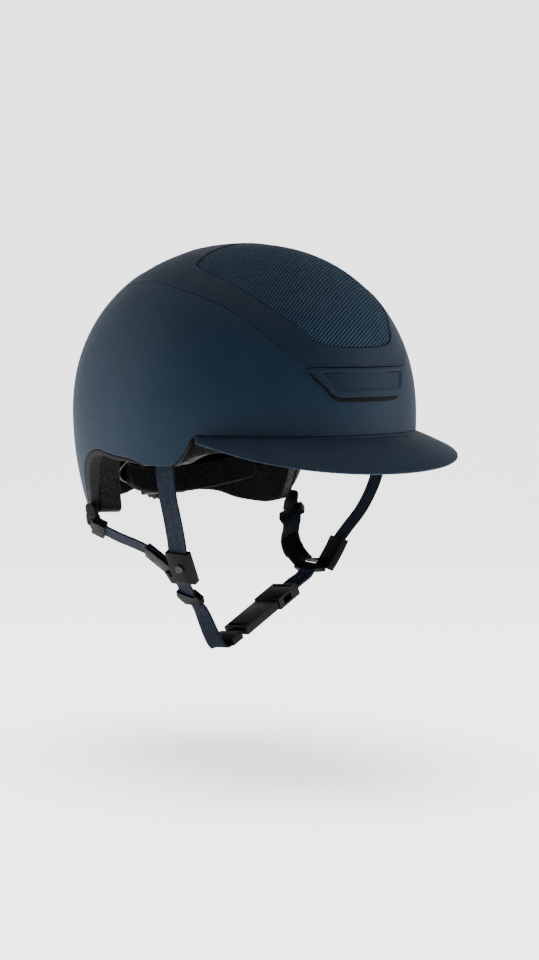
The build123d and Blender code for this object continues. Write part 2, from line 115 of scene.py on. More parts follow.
def smooth_line(points, count, closed=False):
    """Evenly spaced points on a smooth line through the given ones: on each run the Catmull-Rom
    cubic of its two ends and their neighbours, then equal steps of length."""
    points = np.asarray(points, float)
    if closed:
        padded = np.vstack([points[-1:], points, points[:2]])
    else:
        padded = np.vstack([2 * points[0] - points[1], points, 2 * points[-1] - points[-2]])
    a, b, c, d = (padded[i:len(padded) - 3 + i, None] for i in range(4))
    t = np.linspace(0, 1, 24, endpoint=False)[None, :, None]
    runs = b + t * (c - a) / 2 + t ** 2 * (a - 2.5 * b + 2 * c - d / 2) + t ** 3 * (b - c + (d - a) / 3) * 1.5
    line = np.vstack([runs.reshape(-1, points.shape[1]), points[:1] if closed else points[-1:]])
    length = np.concatenate([[0], np.cumsum(np.linalg.norm(np.diff(line, axis=0), axis=1))])
    at = np.linspace(0, length[-1], count, endpoint=not closed)
    return np.stack([np.interp(at, length, line[:, k]) for k in range(line.shape[1])], axis=-1)


def whole_loop(left_half, count):
    """Closed line of map places from its left half, which starts and ends on the centre line."""
    left_half = np.asarray(left_half, float)
    return smooth_line(np.vstack([left_half, left_half[-2:0:-1] * [-1, 1]]), count, closed=True)


def opposite(line, loop):
    """The loop's places that face those of a line: the same turn, eased over neighbours so that
    steep stretches of the line don't bunch up, and the loop's fall at that turn."""
    turn = np.degrees(np.unwrap(np.arctan2(line[:, 0], -line[:, 1])))
    even = np.arange(len(line)) * 360 / len(line)
    off = turn - even
    width = len(line) // 16
    eased = np.convolve(np.concatenate([off[-width:], off, off[:width]]),
                        np.hanning(2 * width + 1) / width, "valid") + even
    loop_turn = np.degrees(np.unwrap(np.arctan2(loop[:, 0], -loop[:, 1])))
    fall = np.hypot(loop[:, 0], loop[:, 1])
    return polar(eased, np.interp(eased, loop_turn, fall, period=360))


def put_mesh(name, grid, ring_rows=True, ring_columns=True, uv=None, finish=None):
    """Closed mesh from a grid of points in mm. Rows and columns wrap where they are rings; where
    only one of them is, the two open ends are closed with a fan round their middle point."""
    rows, columns = grid.shape[:2]
    index = np.arange(rows * columns).reshape(rows, columns)
    if ring_rows:
        index = np.vstack([index, index[:1]])
    if ring_columns:
        index = np.hstack([index, index[:, :1]])
    faces = np.stack([index[:-1, :-1], index[:-1, 1:], index[1:, 1:], index[1:, :-1]], -1).reshape(-1, 4)
    points = grid.reshape(-1, 3)
    places = None if uv is None else uv.reshape(-1, 2)
    fans = []
    if ring_rows != ring_columns:
        ends = [index[0], index[-1][::-1]] if ring_columns else [index[:, -1], index[::-1, 0]]
        for end in ends:
            middle = np.full(len(end) - 1, len(points))
            points = np.vstack([points, points[end[:-1]].mean(0)])
            if uv is not None:
                places = np.vstack([places, places[end[:-1]].mean(0)])
            fans.append(np.stack([end[1:], end[:-1], middle], -1))
    thirds = np.vstack([faces[:, [0, 1, 2]], faces[:, [0, 2, 3]]] + fans)
    a, b, c = (points[thirds[:, k]] for k in range(3))
    inside_out = np.einsum("ij,ij->", a - points.mean(0),
                           np.cross(b - points.mean(0), c - points.mean(0))) < 0
    if inside_out:
        faces, fans = faces[:, ::-1], [fan[:, ::-1] for fan in fans]
    mesh = bpy.data.meshes.new(name)
    mesh.from_pydata((points * 0.001).tolist(), [],
                     faces.tolist() + [f for fan in fans for f in fan.tolist()])
    mesh.polygons.foreach_set("use_smooth", np.ones(len(mesh.polygons), bool))
    if uv is not None:
        corner = np.zeros(len(mesh.loops), np.int32)
        mesh.loops.foreach_get("vertex_index", corner)
        mesh.uv_layers.new(name="cloth").data.foreach_set("uv", places[corner].astype(np.float32).ravel())
    piece = bpy.data.objects.new(name, mesh)
    bpy.context.scene.collection.objects.link(piece)
    if finish is not None:
        mesh.materials.append(finish)
    return piece


def quarter(edge, steps=4):
    """Quarter round of radius edge: distance in from the edge, and depth below the face."""
    a = np.linspace(0, np.pi / 2, steps + 1)
    return edge * (1 - np.cos(a)), edge * (1 - np.sin(a))


def wall(name, start, end, outer, inner, edge, rows, finish, ring=True, relief=None, back_rows=12):
    """Strip of the dome's wall between two lines of map places, as a closed profile carried along
    them: outer face from start to end, a rounded edge, the inner face back and a rounded edge.
    relief(places, points) adds to the outer face's inset."""
    steps = np.linspace(0, 1, 16)[:, None, None]
    along = dome(start + (end - start) * steps, outer)
    length = np.linalg.norm(np.diff(along, axis=0), axis=2).sum(0)
    away, deep = quarter(edge)
    shares = np.linspace(0, 1, rows)[1:-1, None]
    back = np.linspace(1, 0, back_rows)[1:-1, None]
    near = away[:, None] / length
    out_u = np.vstack([near, near[-1] + shares * (1 - 2 * near[-1]), 1 - near[::-1]])
    in_u = np.vstack([1 - near, near[-1] + back * (1 - 2 * near[-1]), near[::-1]])
    out_d = np.concatenate([deep, np.zeros(len(shares)), deep[::-1]]) + outer
    in_d = inner - np.concatenate([deep, np.zeros(len(back)), deep[::-1]])
    u = np.vstack([out_u, in_u])[..., None]
    place = start + (end - start) * u
    depth = np.concatenate([out_d, in_d])[:, None] * np.ones(len(start))
    if relief is not None:
        n = len(out_u)
        depth[:n] += relief(place[:n], dome(place[:n]))
    return put_mesh(name, dome(place, depth), True, ring, finish=finish)


def shader_of(name, **sockets):
    """New material whose shader has these constant sockets, with its node tree."""
    material = bpy.data.materials.new(name)
    material.use_nodes = True
    shader = material.node_tree.nodes["Principled BSDF"]
    for socket, value in sockets.items():
        shader.inputs[socket.replace("_", " ")].default_value = value
    return material, material.node_tree, shader


def node(tree, kind, inputs=None, **settings):
    """New node with its settings, and its inputs as plain values or as links."""
    made = tree.nodes.new("ShaderNode" + kind)
    for key, value in settings.items():
        setattr(made, key, value)
    for key, value in (inputs or {}).items():
        if isinstance(value, bpy.types.NodeSocket):
            tree.links.new(value, made.inputs[key])
        else:
            made.inputs[key].default_value = value
    return made


def ramp(tree, factor, *stops):
    """Colour ramp through (position, (r, g, b)) stops."""
    made = node(tree, "ValToRGB", {"Fac": factor})
    bar = made.color_ramp.elements
    while len(bar) < len(stops):
        bar.new(0.5)
    for element, (position, colour) in zip(bar, stops):
        element.position = position
        element.color = (*colour, 1)
    return made.outputs["Color"]


def speckle(tree, size_mm, detail=3.0, rough=0.55):
    """Noise on the piece's own coordinates with grains of about size_mm."""
    where = node(tree, "TexCoord").outputs["Object"]
    return node(tree, "TexNoise", {"Vector": where, "Scale": 1000 / size_mm, "Detail": detail,
                                   "Roughness": rough}).outputs["Fac"]


def span(tree, value, low, high, from_low=0.3, from_high=0.7):
    """Value taken from one range to another."""
    return node(tree, "MapRange", {"Value": value, "From Min": from_low, "From Max": from_high,
                                   "To Min": low, "To Max": high}).outputs["Result"]


def add_bump(tree, shader, *layers):
    """Heights stacked as bumps: each layer is (height, depth in mm, strength)."""
    normal = None
    for height, depth, strength in layers:
        inputs = {"Height": height, "Distance": depth * 0.001, "Strength": strength}
        if normal is not None:
            inputs["Normal"] = normal
        normal = node(tree, "Bump", inputs).outputs["Normal"]
    tree.links.new(normal, shader.inputs["Normal"])


def soft_lacquer(name, deep, pale, sheen=0.10, grain_mm=0.45):
    """Soft-touch lacquer: two navy shades drifting over the piece, roughness and height from a fine
    pebble, a slow orange-peel under it and a dusting bloom as sheen."""
    material, tree, shader = shader_of(name, Sheen_Weight=sheen, Sheen_Roughness=0.45,
                                       Sheen_Tint=(0.75, 0.85, 1.0, 1), IOR=1.45,
                                       Specular_IOR_Level=0.3)
    drift = speckle(tree, 46, 4)
    dust = speckle(tree, 1.1, 2)
    both = node(tree, "Math", {0: drift, 1: span(tree, dust, -0.05, 0.05)}, operation="ADD").outputs[0]
    tree.links.new(ramp(tree, both, (0.3, deep), (0.7, pale)), shader.inputs["Base Color"])
    tree.links.new(span(tree, speckle(tree, 3.5, 3), 0.52, 0.62), shader.inputs["Roughness"])
    add_bump(tree, shader, (speckle(tree, 9, 2), 0.10, 0.25), (speckle(tree, grain_mm, 2), 0.05, 0.45))
    return material


rim_front = polar(np.arange(0, 58, 8.0), fall_at(np.full(8, PEAK_SEAM_Z)))
rim_loop = whole_loop(np.vstack([rim_front, seen_from_left(SHELL_RIM), polar(180.0, fall_at(-40.6))[None]]),
                      640)
seam_front = polar(np.array([0, 6, 12, 18, 22, 24.6]), fall_at(np.full(6, FRAME_FRONT_Z)))
seam_loop = whole_loop(np.vstack([seam_front, seen_from_above(FRAME_SEAM)]), 640)


def fit(piece, body, slot, *stands_for):
    """Fixes a finished piece to its body and hides the frame parts it stands for; its slot is not used."""
    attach(piece, body)
    if stands_for:
        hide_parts(*stands_for)
    return piece


shell_finish = soft_lacquer("shell_lacquer", (0.0075, 0.0235, 0.0490), (0.0092, 0.0285, 0.0590))
shell = wall("shell", opposite(rim_loop, seam_loop), rim_loop, 0.0, SHELL_T, 0.7, 52, shell_finish)
fit(shell, "helmet", "shell_navy", "outer_shell")

# ------------------------------------------------------------------ top frame
# The raised centre frame carries both grilles. It is a separate moulding clipped to the shell along
# a fine seam, one ring round both windows with a bridge over the crown between them.

SEAM_GAP = 0.35
GRILLE_GAP = 0.45
FRONT_WINDOW = [(0, -122), (18, -120), (34, -113.5), (43, -103), (51, -90), (58, -70), (61.5, -50),
                (62, -30), (58, -15), (46, -10), (25, -7.5), (0, -5)]
REAR_WINDOW = [(0, 26), (26, 26.5), (44, 28), (53, 36), (54, 52), (50, 72), (42, 92), (29, 107), (0, 113)]
BRIDGE_FRONT, BRIDGE_REAR = (58, -15), (53, 36)
BRIDGE_ROWS = 16


def nearer(loop, centre, mm):
    """Loop drawn in towards a map place by a distance, at 2.1 mm to the degree."""
    way = np.asarray(centre, float) - loop
    return loop + way / np.linalg.norm(way, axis=1, keepdims=True) * (mm / 2.1)


def evenly(line, count):
    """The same line cut into equal steps."""
    length = np.concatenate([[0], np.cumsum(np.linalg.norm(np.diff(line, axis=0), axis=1))])
    at = np.linspace(0, length[-1], count)
    return np.stack([np.interp(at, length, line[:, k]) for k in range(line.shape[1])], axis=-1)


front_window = whole_loop(seen_from_above(FRONT_WINDOW), 480)
rear_window = whole_loop(seen_from_above(REAR_WINDOW), 400)
front_corner = np.argmin(np.linalg.norm(front_window - seen_from_above([BRIDGE_FRONT]), axis=1))
rear_corner = np.argmin(np.linalg.norm(rear_window - seen_from_above([BRIDGE_REAR]), axis=1))
step = np.linspace(0, 1, BRIDGE_ROWS + 1)[:, None]
bridge_end = front_window[front_corner] + (rear_window[rear_corner] - front_window[front_corner]) * step
half = np.vstack([front_window[:front_corner], bridge_end, rear_window[rear_corner + 1:201]])
windows = np.vstack([half, half[-2:0:-1] * [-1, 1]])
frame_edge = nearer(opposite(windows, seam_loop), (0, 0), SEAM_GAP)
ring_share = np.linspace(0, 1, 22)[:, None, None]
ring_grid = dome(frame_edge + (windows - frame_edge) * ring_share)
bridge_front = evenly(front_window[front_corner:480 - front_corner + 1], 72)
bridge_rear = evenly(np.roll(rear_window, rear_corner, axis=0)[:2 * rear_corner + 1][::-1], 72)
bridge_grid = dome(bridge_front + (bridge_rear - bridge_front) * step[:, None])


def open_sheet(name, grids, finish, thickness, bevel):
    """Outer faces from one or more grids, (points, columns wrap), sewn where they meet, then given a wall
    inwards and eased edges."""
    work = bmesh.new()
    for grid, wraps in grids:
        rows, columns = grid.shape[:2]
        index = np.arange(rows * columns).reshape(rows, columns)
        if wraps:
            index = np.hstack([index, index[:, :1]])
        quads = np.stack([index[:-1, :-1], index[:-1, 1:], index[1:, 1:], index[1:, :-1]], -1).reshape(-1, 4)
        a, b, c = (grid.reshape(-1, 3)[quads[:, k]] for k in range(3))
        outward = np.einsum("ij,ij->", np.cross(b - a, c - a), a - np.array([0, 0, 20.0])) > 0
        part = bpy.data.meshes.new("part")
        part.from_pydata((grid.reshape(-1, 3) * 0.001).tolist(), [],
                         (quads if outward else quads[:, ::-1]).tolist())
        work.from_mesh(part)
        bpy.data.meshes.remove(part)
    bmesh.ops.remove_doubles(work, verts=work.verts, dist=2e-5)
    mesh = bpy.data.meshes.new(name)
    work.to_mesh(mesh)
    work.free()
    mesh.polygons.foreach_set("use_smooth", np.ones(len(mesh.polygons), bool))
    mesh.materials.append(finish)
    piece = bpy.data.objects.new(name, mesh)
    bpy.context.scene.collection.objects.link(piece)
    skin = piece.modifiers.new("wall", "SOLIDIFY")
    skin.thickness, skin.offset = thickness * 0.001, -1.0
    ease = piece.modifiers.new("eased_edges", "BEVEL")
    ease.width, ease.segments, ease.limit_method, ease.angle_limit = bevel * 0.001, 3, "ANGLE", np.radians(50)
    return piece


frame_finish = soft_lacquer("frame_lacquer", (0.0065, 0.0200, 0.0420), (0.0080, 0.0245, 0.0500))
top_frame = open_sheet("centre_frame", [(ring_grid, True), (bridge_grid, False)], frame_finish, 2.6, 0.45)
fit(top_frame, "helmet", "frame_navy", "top_frame")

# ------------------------------------------------------------------ grilles
# A fine diagonal mesh of dyed monofilament is stretched over each window and moulded in round its
# edge. The threads cross in twos at a shallow angle, with small openings between them painted
# near-black as shade.

MESH_TOP, MESH_LOW = 0.7, 2.4
THREAD_PITCH = 1.9


def plate(name, outline, centre, outer, inner, edge, rows, finish, relief=None, back_rows=10, cloth=None):
    """Closed plate of the dome inside an outline: rows run from the centre to the edge on the outer
    face, round the edge and back to the centre on the inner face. relief(places, points) adds to the
    outer face's inset; cloth(points) gives the cloth map."""
    length = np.linalg.norm(dome(outline) - dome(np.asarray(centre, float)), axis=1)
    away, deep = quarter(edge)
    near = away[:, None] / length
    out_u = np.vstack([(1 - near[-1]) * np.linspace(0.012, 1, rows)[:-1, None], 1 - near[::-1]])
    in_u = np.vstack([1 - near, (1 - near[-1]) * np.linspace(1, 0.03, back_rows)[1:, None]])
    place = centre + (outline - centre) * np.vstack([out_u, in_u])[..., None]
    depth = np.concatenate([np.zeros(rows - 1), deep[::-1], inner - outer - deep,
                            np.full(back_rows - 1, inner - outer)])
    depth = depth[:, None] * np.ones(len(outline)) + outer
    if relief is not None:
        n = len(out_u)
        depth[:n] += relief(place[:n], dome(place[:n]))
    uv = None if cloth is None else cloth(dome(place))
    return put_mesh(name, dome(place, depth), False, True, uv=uv, finish=finish)


def cloth_lie(points):
    """Lie of a cloth stretched over the crown, in mm: arcs across and along a 130 mm ball about a
    point under the crown."""
    x, y, z = points[..., 0], points[..., 1], points[..., 2] + 10
    return np.stack([130 * np.arctan2(x, np.hypot(y, z)), 130 * np.arctan2(-y, z)], axis=-1)


def mesh_relief(places, points):
    """Height of crossing threads: two sets of ridges 34 degrees each side of across, the first set
    standing above the second."""
    across, along = np.moveaxis(cloth_lie(points), -1, 0)
    first = np.cos(2 * np.pi * (0.56 * across + 0.83 * along) / THREAD_PITCH)
    second = np.cos(2 * np.pi * (0.56 * across - 0.83 * along) / THREAD_PITCH)
    return -0.16 * first - 0.07 * second


def mesh_cloth(name):
    """Monofilament mesh on its cloth map: threads from two crossed waves, painted near-black between
    them as shade and lighter on their crests as a painted highlight; lower roughness gives a satin glint
    along each thread."""
    material, tree, shader = shader_of(name, Sheen_Weight=0.06, Sheen_Roughness=0.4, Specular_IOR_Level=0.2,
                                       Sheen_Tint=(0.6, 0.8, 1.0, 1))
    lie = node(tree, "UVMap", uv_map="cloth").outputs["UV"]
    sets = []
    for lean in (0.83, -0.83):
        turned = node(tree, "VectorMath", {0: lie, 1: (0.56, lean, 0)},
                      operation="DOT_PRODUCT").outputs["Value"]
        angle = node(tree, "Math", {0: turned, 1: 2 * np.pi / THREAD_PITCH}, operation="MULTIPLY").outputs[0]
        sets.append(node(tree, "Math", {0: angle}, operation="COSINE").outputs[0])
    second = node(tree, "Math", {0: sets[1], 1: 0.45}, operation="MULTIPLY").outputs[0]
    threads = node(tree, "Math", {0: sets[0], 1: second}, operation="ADD").outputs[0]
    stray = span(tree, speckle(tree, 5, 3), -0.18, 0.18)
    level = node(tree, "Math", {0: threads, 1: stray}, operation="ADD").outputs[0]
    share = span(tree, level, 0.0, 1.0, -1.3, 1.4)
    # Colour follows thread height: the near-black gaps are painted shade and the pale crests are painted
    # highlight; the stray noise is real variation.
    tree.links.new(ramp(tree, share, (0.18, (0.0015, 0.005, 0.012)), (0.55, (0.011, 0.038, 0.078)),
                        (0.95, (0.040, 0.105, 0.180))), shader.inputs["Base Color"])
    tree.links.new(span(tree, share, 0.68, 0.46, 0, 1), shader.inputs["Roughness"])
    add_bump(tree, shader, (share, 0.30, 0.8), (speckle(tree, 0.5, 2), 0.05, 0.4))
    return material


mesh_finish = mesh_cloth("mesh_threads")
front_outline = nearer(front_window, seen_from_above([(0, -62)])[0], GRILLE_GAP)
front_mesh = plate("front_mesh", front_outline, seen_from_above([(0, -62)])[0], MESH_TOP, MESH_LOW, 0.6,
                   118, mesh_finish, mesh_relief, cloth=cloth_lie)
fit(front_mesh, "helmet", "mesh_navy", "front_grille")
rear_outline = nearer(rear_window, seen_from_above([(0, 68)])[0], GRILLE_GAP)
rear_mesh = plate("rear_mesh", rear_outline, seen_from_above([(0, 68)])[0], MESH_TOP, MESH_LOW, 0.6,
                  100, mesh_finish, mesh_relief, cloth=cloth_lie)
fit(rear_mesh, "helmet", "mesh_navy", "rear_grille")

# ------------------------------------------------------------------ forehead vent cover
# A tapered cover plate stands off the forehead over the air slot. It is moulded with a sunk badge
# panel, left plain, lacquered like the frame. A near-black strip laid just under its lower edge is
# painted shade: it stands for the shadow in the gap under the cover.

COVER_LINE = [(0, 54.0), (22, 54.0), (38, 53.9), (44.3, 53.6), (42.6, 51.2), (37.2, 44.9), (31.8, 38.6),
              (28.4, 35.6), (23.5, 34.6), (12, 34.5), (0, 34.5)]
PANEL = (37.0, 52.0, 29.0, 38.0)


def seen_from_front(points):
    """Map places of front-view points (x, z): z gives the fall, and x over the half-width the turn."""
    x, z = np.asarray(points, float).T
    fall = fall_at(z)
    spread = np.sin(np.radians(np.minimum(fall, 90))) ** (2 / ROUND_POWER)
    return polar(np.degrees(np.arcsin(np.clip(x / (HALF_WIDTH * spread), -1, 1))), fall)


def ease_in(value):
    """0 below 0, 1 above 1, and a smooth rise between."""
    value = np.clip(value, 0, 1)
    return value * value * (3 - 2 * value)


def cover_relief(places, points):
    """The cover leans out from flush at its top to full height at its lower edge; inside the panel,
    whose sides taper with it, the face is sunk 0.8 mm through a 0.7 mm step, less towards the foot."""
    x, z = np.abs(points[..., 0]), points[..., 2]
    wide, top, narrow, low = PANEL
    side = narrow + (wide - narrow) * (z - low) / (top - low) - x
    sunk = ease_in(side / 0.7) * ease_in((top - z) / 0.7) * ease_in((z - low) / 3.0)
    return 1.6 * ease_in((z - 38) / 18) + 0.8 * sunk


cover_line = whole_loop(seen_from_front(COVER_LINE), 520)
cover_middle = seen_from_front([(0, 45)])[0]
cover = plate("vent_cover", cover_line, cover_middle, -2.6, -0.2, 0.7, 64, frame_finish, cover_relief)
fit(cover, "helmet", "vent_cover_navy", "front_vent_cover")

# Near-black strip just proud of the shell under the cover: painted shade for the shadow in the gap beneath
# it.
SHADOW_GAP_LINE = [(0, 50.0), (22, 50.0), (39, 50.5), (43.2, 50.4), (39, 44.6), (33.2, 38.0), (30.3, 34.4),
               (25.6, 32.2), (18, 31.6), (9, 31.5), (0, 31.5)]
shadow_gap_black, tree, shader = shader_of("painted_gap_shadow", Specular_IOR_Level=0.25)
tree.links.new(ramp(tree, speckle(tree, 6), (0.3, (0.002, 0.002, 0.003)), (0.7, (0.004, 0.004, 0.005))),
               shader.inputs["Base Color"])
tree.links.new(span(tree, speckle(tree, 1.5), 0.7, 0.85), shader.inputs["Roughness"])
add_bump(tree, shader, (speckle(tree, 0.4), 0.05, 0.5))
shadow_gap_strip = plate("vent_gap_shadow_strip", whole_loop(seen_from_front(SHADOW_GAP_LINE), 360), cover_middle, -0.55, 0.4, 0.4,
               16, shadow_gap_black)
fit(shadow_gap_strip, "helmet", "fit_plastic")

# ------------------------------------------------------------------ peak
# The short stiff peak grows out of a band that lies under the shell's front edge. Band and brim are
# one moulding, 4 mm thick at the root and thinned to a rounded lip, lacquered with the shell.

PEAK_HALF, PEAK_ROOT_Y, PEAK_REACH = 101.8, -59.2, 101.9
PEAK_EDGE_Z, PEAK_DROOP = 6.0, 20.15
BAND_FOOT = [(-160, 0), (-85, 0), (-76, 1.0), (-67, 4.5), (-62, 8.0)]


def brim_grid(columns=261):
    """Profiles of the brim at headings from temple to temple. On top the line runs straight from the
    wall to the edge curve with a parabola of 1.6 mm crown and a small fillet at the wall; the edge is
    a half circle; underneath, the thickness eases from the lip to the root."""
    heading = np.radians(np.linspace(-90, 90, columns)) * 0.985
    ease = np.cos(heading)
    root = np.stack([110.2 * np.sin(heading * 62.6 / 90), -129.2 * np.cos(heading * 62.6 / 90)], -1)
    tip = np.stack([PEAK_HALF * np.sin(heading), PEAK_ROOT_Y - PEAK_REACH * ease ** 0.64], -1)
    tip_z = PEAK_EDGE_Z - PEAK_DROOP * ease ** 0.79
    root_z = PEAK_SEAM_Z - SEAM_GAP
    lip = 0.6 + 0.3 * ease
    out = tip - root
    reach = np.linalg.norm(out, axis=1)
    out = out / reach[:, None]
    reach = reach - lip

    def face(share, drop):
        flat = root + out * (share * reach)[:, None]
        fillet = 1.4 * ease * np.clip(1 - share * reach / 5.0, 0, 1) ** 2
        z = root_z + (tip_z - root_z) * share + 1.6 * ease * 4 * share * (1 - share) - drop - fillet * 0.3
        return np.column_stack([flat, z])

    top = [face(s, 0.0) for s in np.linspace(0, 1, 34)]
    rim = [np.column_stack([tip - out * (lip * (1 - np.sin(a)))[:, None], tip_z - lip * (1 - np.cos(a))])
           for a in np.linspace(0, np.pi, 10)[1:-1]]
    under = [face(s, 2 * lip + (1.2 + 3.0 * ease - 2 * lip) * (1 - s) ** 0.8) for s in np.linspace(1, 0, 22)]
    return np.array(top + rim + under)


peak = put_mesh("peak_brim", brim_grid(), True, False, finish=shell_finish)
fit(peak, "helmet", "shell_navy", "peak")
turns = np.linspace(-61.2, 61.2, 260)
band_y = -FRONT_REACH * np.cos(np.radians(turns))
foot_z = np.interp(band_y, *np.array(BAND_FOOT).T)
band = wall("peak_band", polar(turns, fall_at(np.full(260, PEAK_SEAM_Z - SEAM_GAP))),
            polar(turns, fall_at(foot_z)),
            0.0, SHELL_T, 0.35, 14, shell_finish, ring=False)
fit(band, "helmet", "shell_navy")

# ------------------------------------------------------------------ edge trim
# A soft moulded rubber edging caps shell and foam along the ear arches and round the nape. It is
# dark, slightly brownish where it is handled, and pressed on over both edges.

FOAM_RIM = [(-85, -2), (-75, -2.8), (-60, -6), (-50, -10.5), (-41, -12.4), (-23, -12.4), (-14, -12),
            (12, -10.3), (34, -7.3), (43, -9.5), (50, -16), (54, -26), (57, -40), (61, -50), (75, -52.5),
            (92, -50.5), (106, -46), (125, -43.5), (133.5, -42.8)]
TRIM_START_Y = -12.0
TRIM_FRONT_Y = -60.5

trim_finish, tree, shader = shader_of("trim_rubber", Specular_IOR_Level=0.3)
tree.links.new(ramp(tree, speckle(tree, 22, 5), (0.3, (0.010, 0.0095, 0.0105)),
                    (0.7, (0.020, 0.017, 0.018))),
               shader.inputs["Base Color"])
tree.links.new(span(tree, speckle(tree, 2.5), 0.62, 0.8), shader.inputs["Roughness"])
add_bump(tree, shader, (speckle(tree, 3), 0.08, 0.3), (speckle(tree, 0.35), 0.04, 0.5))

foam_front = polar(np.arange(0, 48, 8.0), fall_at(np.full(6, -2.0)))
foam_loop = whole_loop(np.vstack([foam_front, seen_from_left(FOAM_RIM),
                                  polar(180.0, fall_at(-42.8))[None]]), 640)
behind = np.where(dome(rim_loop)[:, 1] > TRIM_FRONT_Y)[0]
shell_edge = rim_loop[behind]
low_edge = foam_loop[[np.argmin(np.linalg.norm(foam_loop - p, axis=1)) for p in shell_edge]]
blend_width = 9
low_edge = np.stack([np.convolve(np.pad(low_edge[:, k], blend_width, "edge"),
                                 np.hanning(2 * blend_width + 3)[1:-1] / (blend_width + 1), "valid")
                     for k in range(2)], -1)
outward = low_edge - shell_edge
gap = np.maximum(np.linalg.norm(outward, axis=1, keepdims=True), 1e-6)
shell_edge = shell_edge + outward / gap * 0.15
ahead = dome(shell_edge)[:, 1:2] < TRIM_START_Y
low_edge = shell_edge + outward / gap * np.clip(gap, 0.75, np.where(ahead, 0.9, 20))
trim = wall("edge_trim_rubber", shell_edge, low_edge, 0.25, 8.0, 1.1, 12, trim_finish, ring=False,
            back_rows=8)
fit(trim, "helmet", "trim_rubber", "edge_trim")

# ------------------------------------------------------------------ foam liner
# The protective liner is moulded black bead foam, 20 mm thick, with air channels pressed into its
# inner face under both grilles and a notch on each side where the front straps run up the shell.

FOAM_OUT, FOAM_IN = 3.4, 23.0


def foam_notch(places, points):
    """Hollows of the outer face: the two strap notches, 22 mm wide and 5 mm deep, and the rebate
    5 mm deep that takes the trim along the rim behind the temples."""
    y, z = points[..., 1], points[..., 2]
    strap = ease_in((12 - np.abs(y + 33)) / 2) * ease_in((44 - z) / 3)
    level = np.interp(y, [p[0] for p in SHELL_RIM], [p[1] for p in SHELL_RIM])
    rebate = ease_in((level + 2.0 - z) / 1.5) * ease_in((y - TRIM_START_Y + 2) / 2)
    return np.maximum(5.2 * strap, 5.2 * rebate)


def bead_foam(name):
    """Moulded bead foam: packed bead outlines from Voronoi cells, near-black, with painted shade in the
    outlines between beads and a painted highlight on the bead tops, a slow random drift in tone, waxy."""
    material, tree, shader = shader_of(name, Specular_IOR_Level=0.15)
    where = node(tree, "TexCoord").outputs["Object"]
    cells = node(tree, "TexVoronoi", {"Vector": where, "Scale": 340.0},
                 feature="DISTANCE_TO_EDGE").outputs["Distance"]
    tops = span(tree, cells, 0, 1, 0.0, 0.25)
    stray = node(tree, "Math", {0: tops, 1: span(tree, speckle(tree, 30, 4), -0.3, 0.3)},
                 operation="ADD").outputs[0]
    # Bead tops painted lighter and outlines darker: painted highlight and painted shade; the slow noise is
    # real tone drift.
    tree.links.new(ramp(tree, stray, (0.0, (0.0035, 0.0035, 0.0035)), (0.8, (0.0125, 0.012, 0.0115))),
                   shader.inputs["Base Color"])
    tree.links.new(span(tree, tops, 0.75, 0.5, 0, 1), shader.inputs["Roughness"])
    add_bump(tree, shader, (tops, 0.25, 0.55), (speckle(tree, 0.6), 0.05, 0.4))
    return material


foam_finish = bead_foam("liner_foam")
CHANNELS = [(-24, -62, 5.5, 32), (0, -62, 5.5, 32), (24, -62, 5.5, 32),
            (-19.2, 68, 4.5, 22), (0, 68, 4.5, 22), (19.2, 68, 4.5, 22)]


def foam_cap(name, finish):
    """The liner from crown to rim: outer face, rounded rim, 20 mm thick end face, and the inner face
    with its pressed channels 9 mm deep."""
    shares = np.linspace(0.012, 1, 90)[:, None]
    away, deep = quarter(1.6)
    length = np.linalg.norm(dome(foam_loop) - dome(np.zeros(2)), axis=1)
    near = away[:, None] / length
    end = np.linspace(0, 1, 12)[1:-1, None]
    out_u = np.vstack([shares[:-1] * (1 - near[-1]), 1 - near[::-1]])
    end_u = np.ones(len(end))[:, None] * (1 - near[0])
    in_u = np.vstack([1 - near, shares[::-1][1:] * (1 - near[-1])])
    n, m = len(out_u), len(end_u)
    place = foam_loop * np.vstack([out_u, end_u, in_u])[..., None]
    full = FOAM_IN - FOAM_OUT
    depth = np.concatenate([np.zeros(len(shares) - 1), deep[::-1],
                            deep[0] + (full - 2 * deep[0]) * end[:, 0],
                            full - deep, np.full(len(shares) - 1, full)])[:, None] * np.ones(len(foam_loop))
    surface = dome(place)
    depth[:n] += foam_notch(place[:n], surface[:n])
    x, y = surface[n + m:, :, 0], surface[n + m:, :, 1]
    pressed = sum(ease_in((w - np.abs(x - cx)) / 1.5) * ease_in((l - np.abs(y - cy)) / 3)
                  for cx, cy, w, l in CHANNELS)
    depth[n + m:] -= 9 * np.clip(pressed, 0, 1) * (surface[n + m:, :, 2] > 60)
    return put_mesh(name, dome(place, FOAM_OUT + depth), False, True, finish=finish)


foam = foam_cap("foam_shell", foam_finish)
fit(foam, "helmet", "foam_black", "foam_liner")

# ------------------------------------------------------------------ comfort pads
# Removable pads of black wicking knit over thin foam line the brow, the crown and the temples. Each
# is a crowned slice with a stitched, rolled edge and sewn channels, held on by touch fastener.

PAD_OUT, PAD_IN = 23.2, 28.6


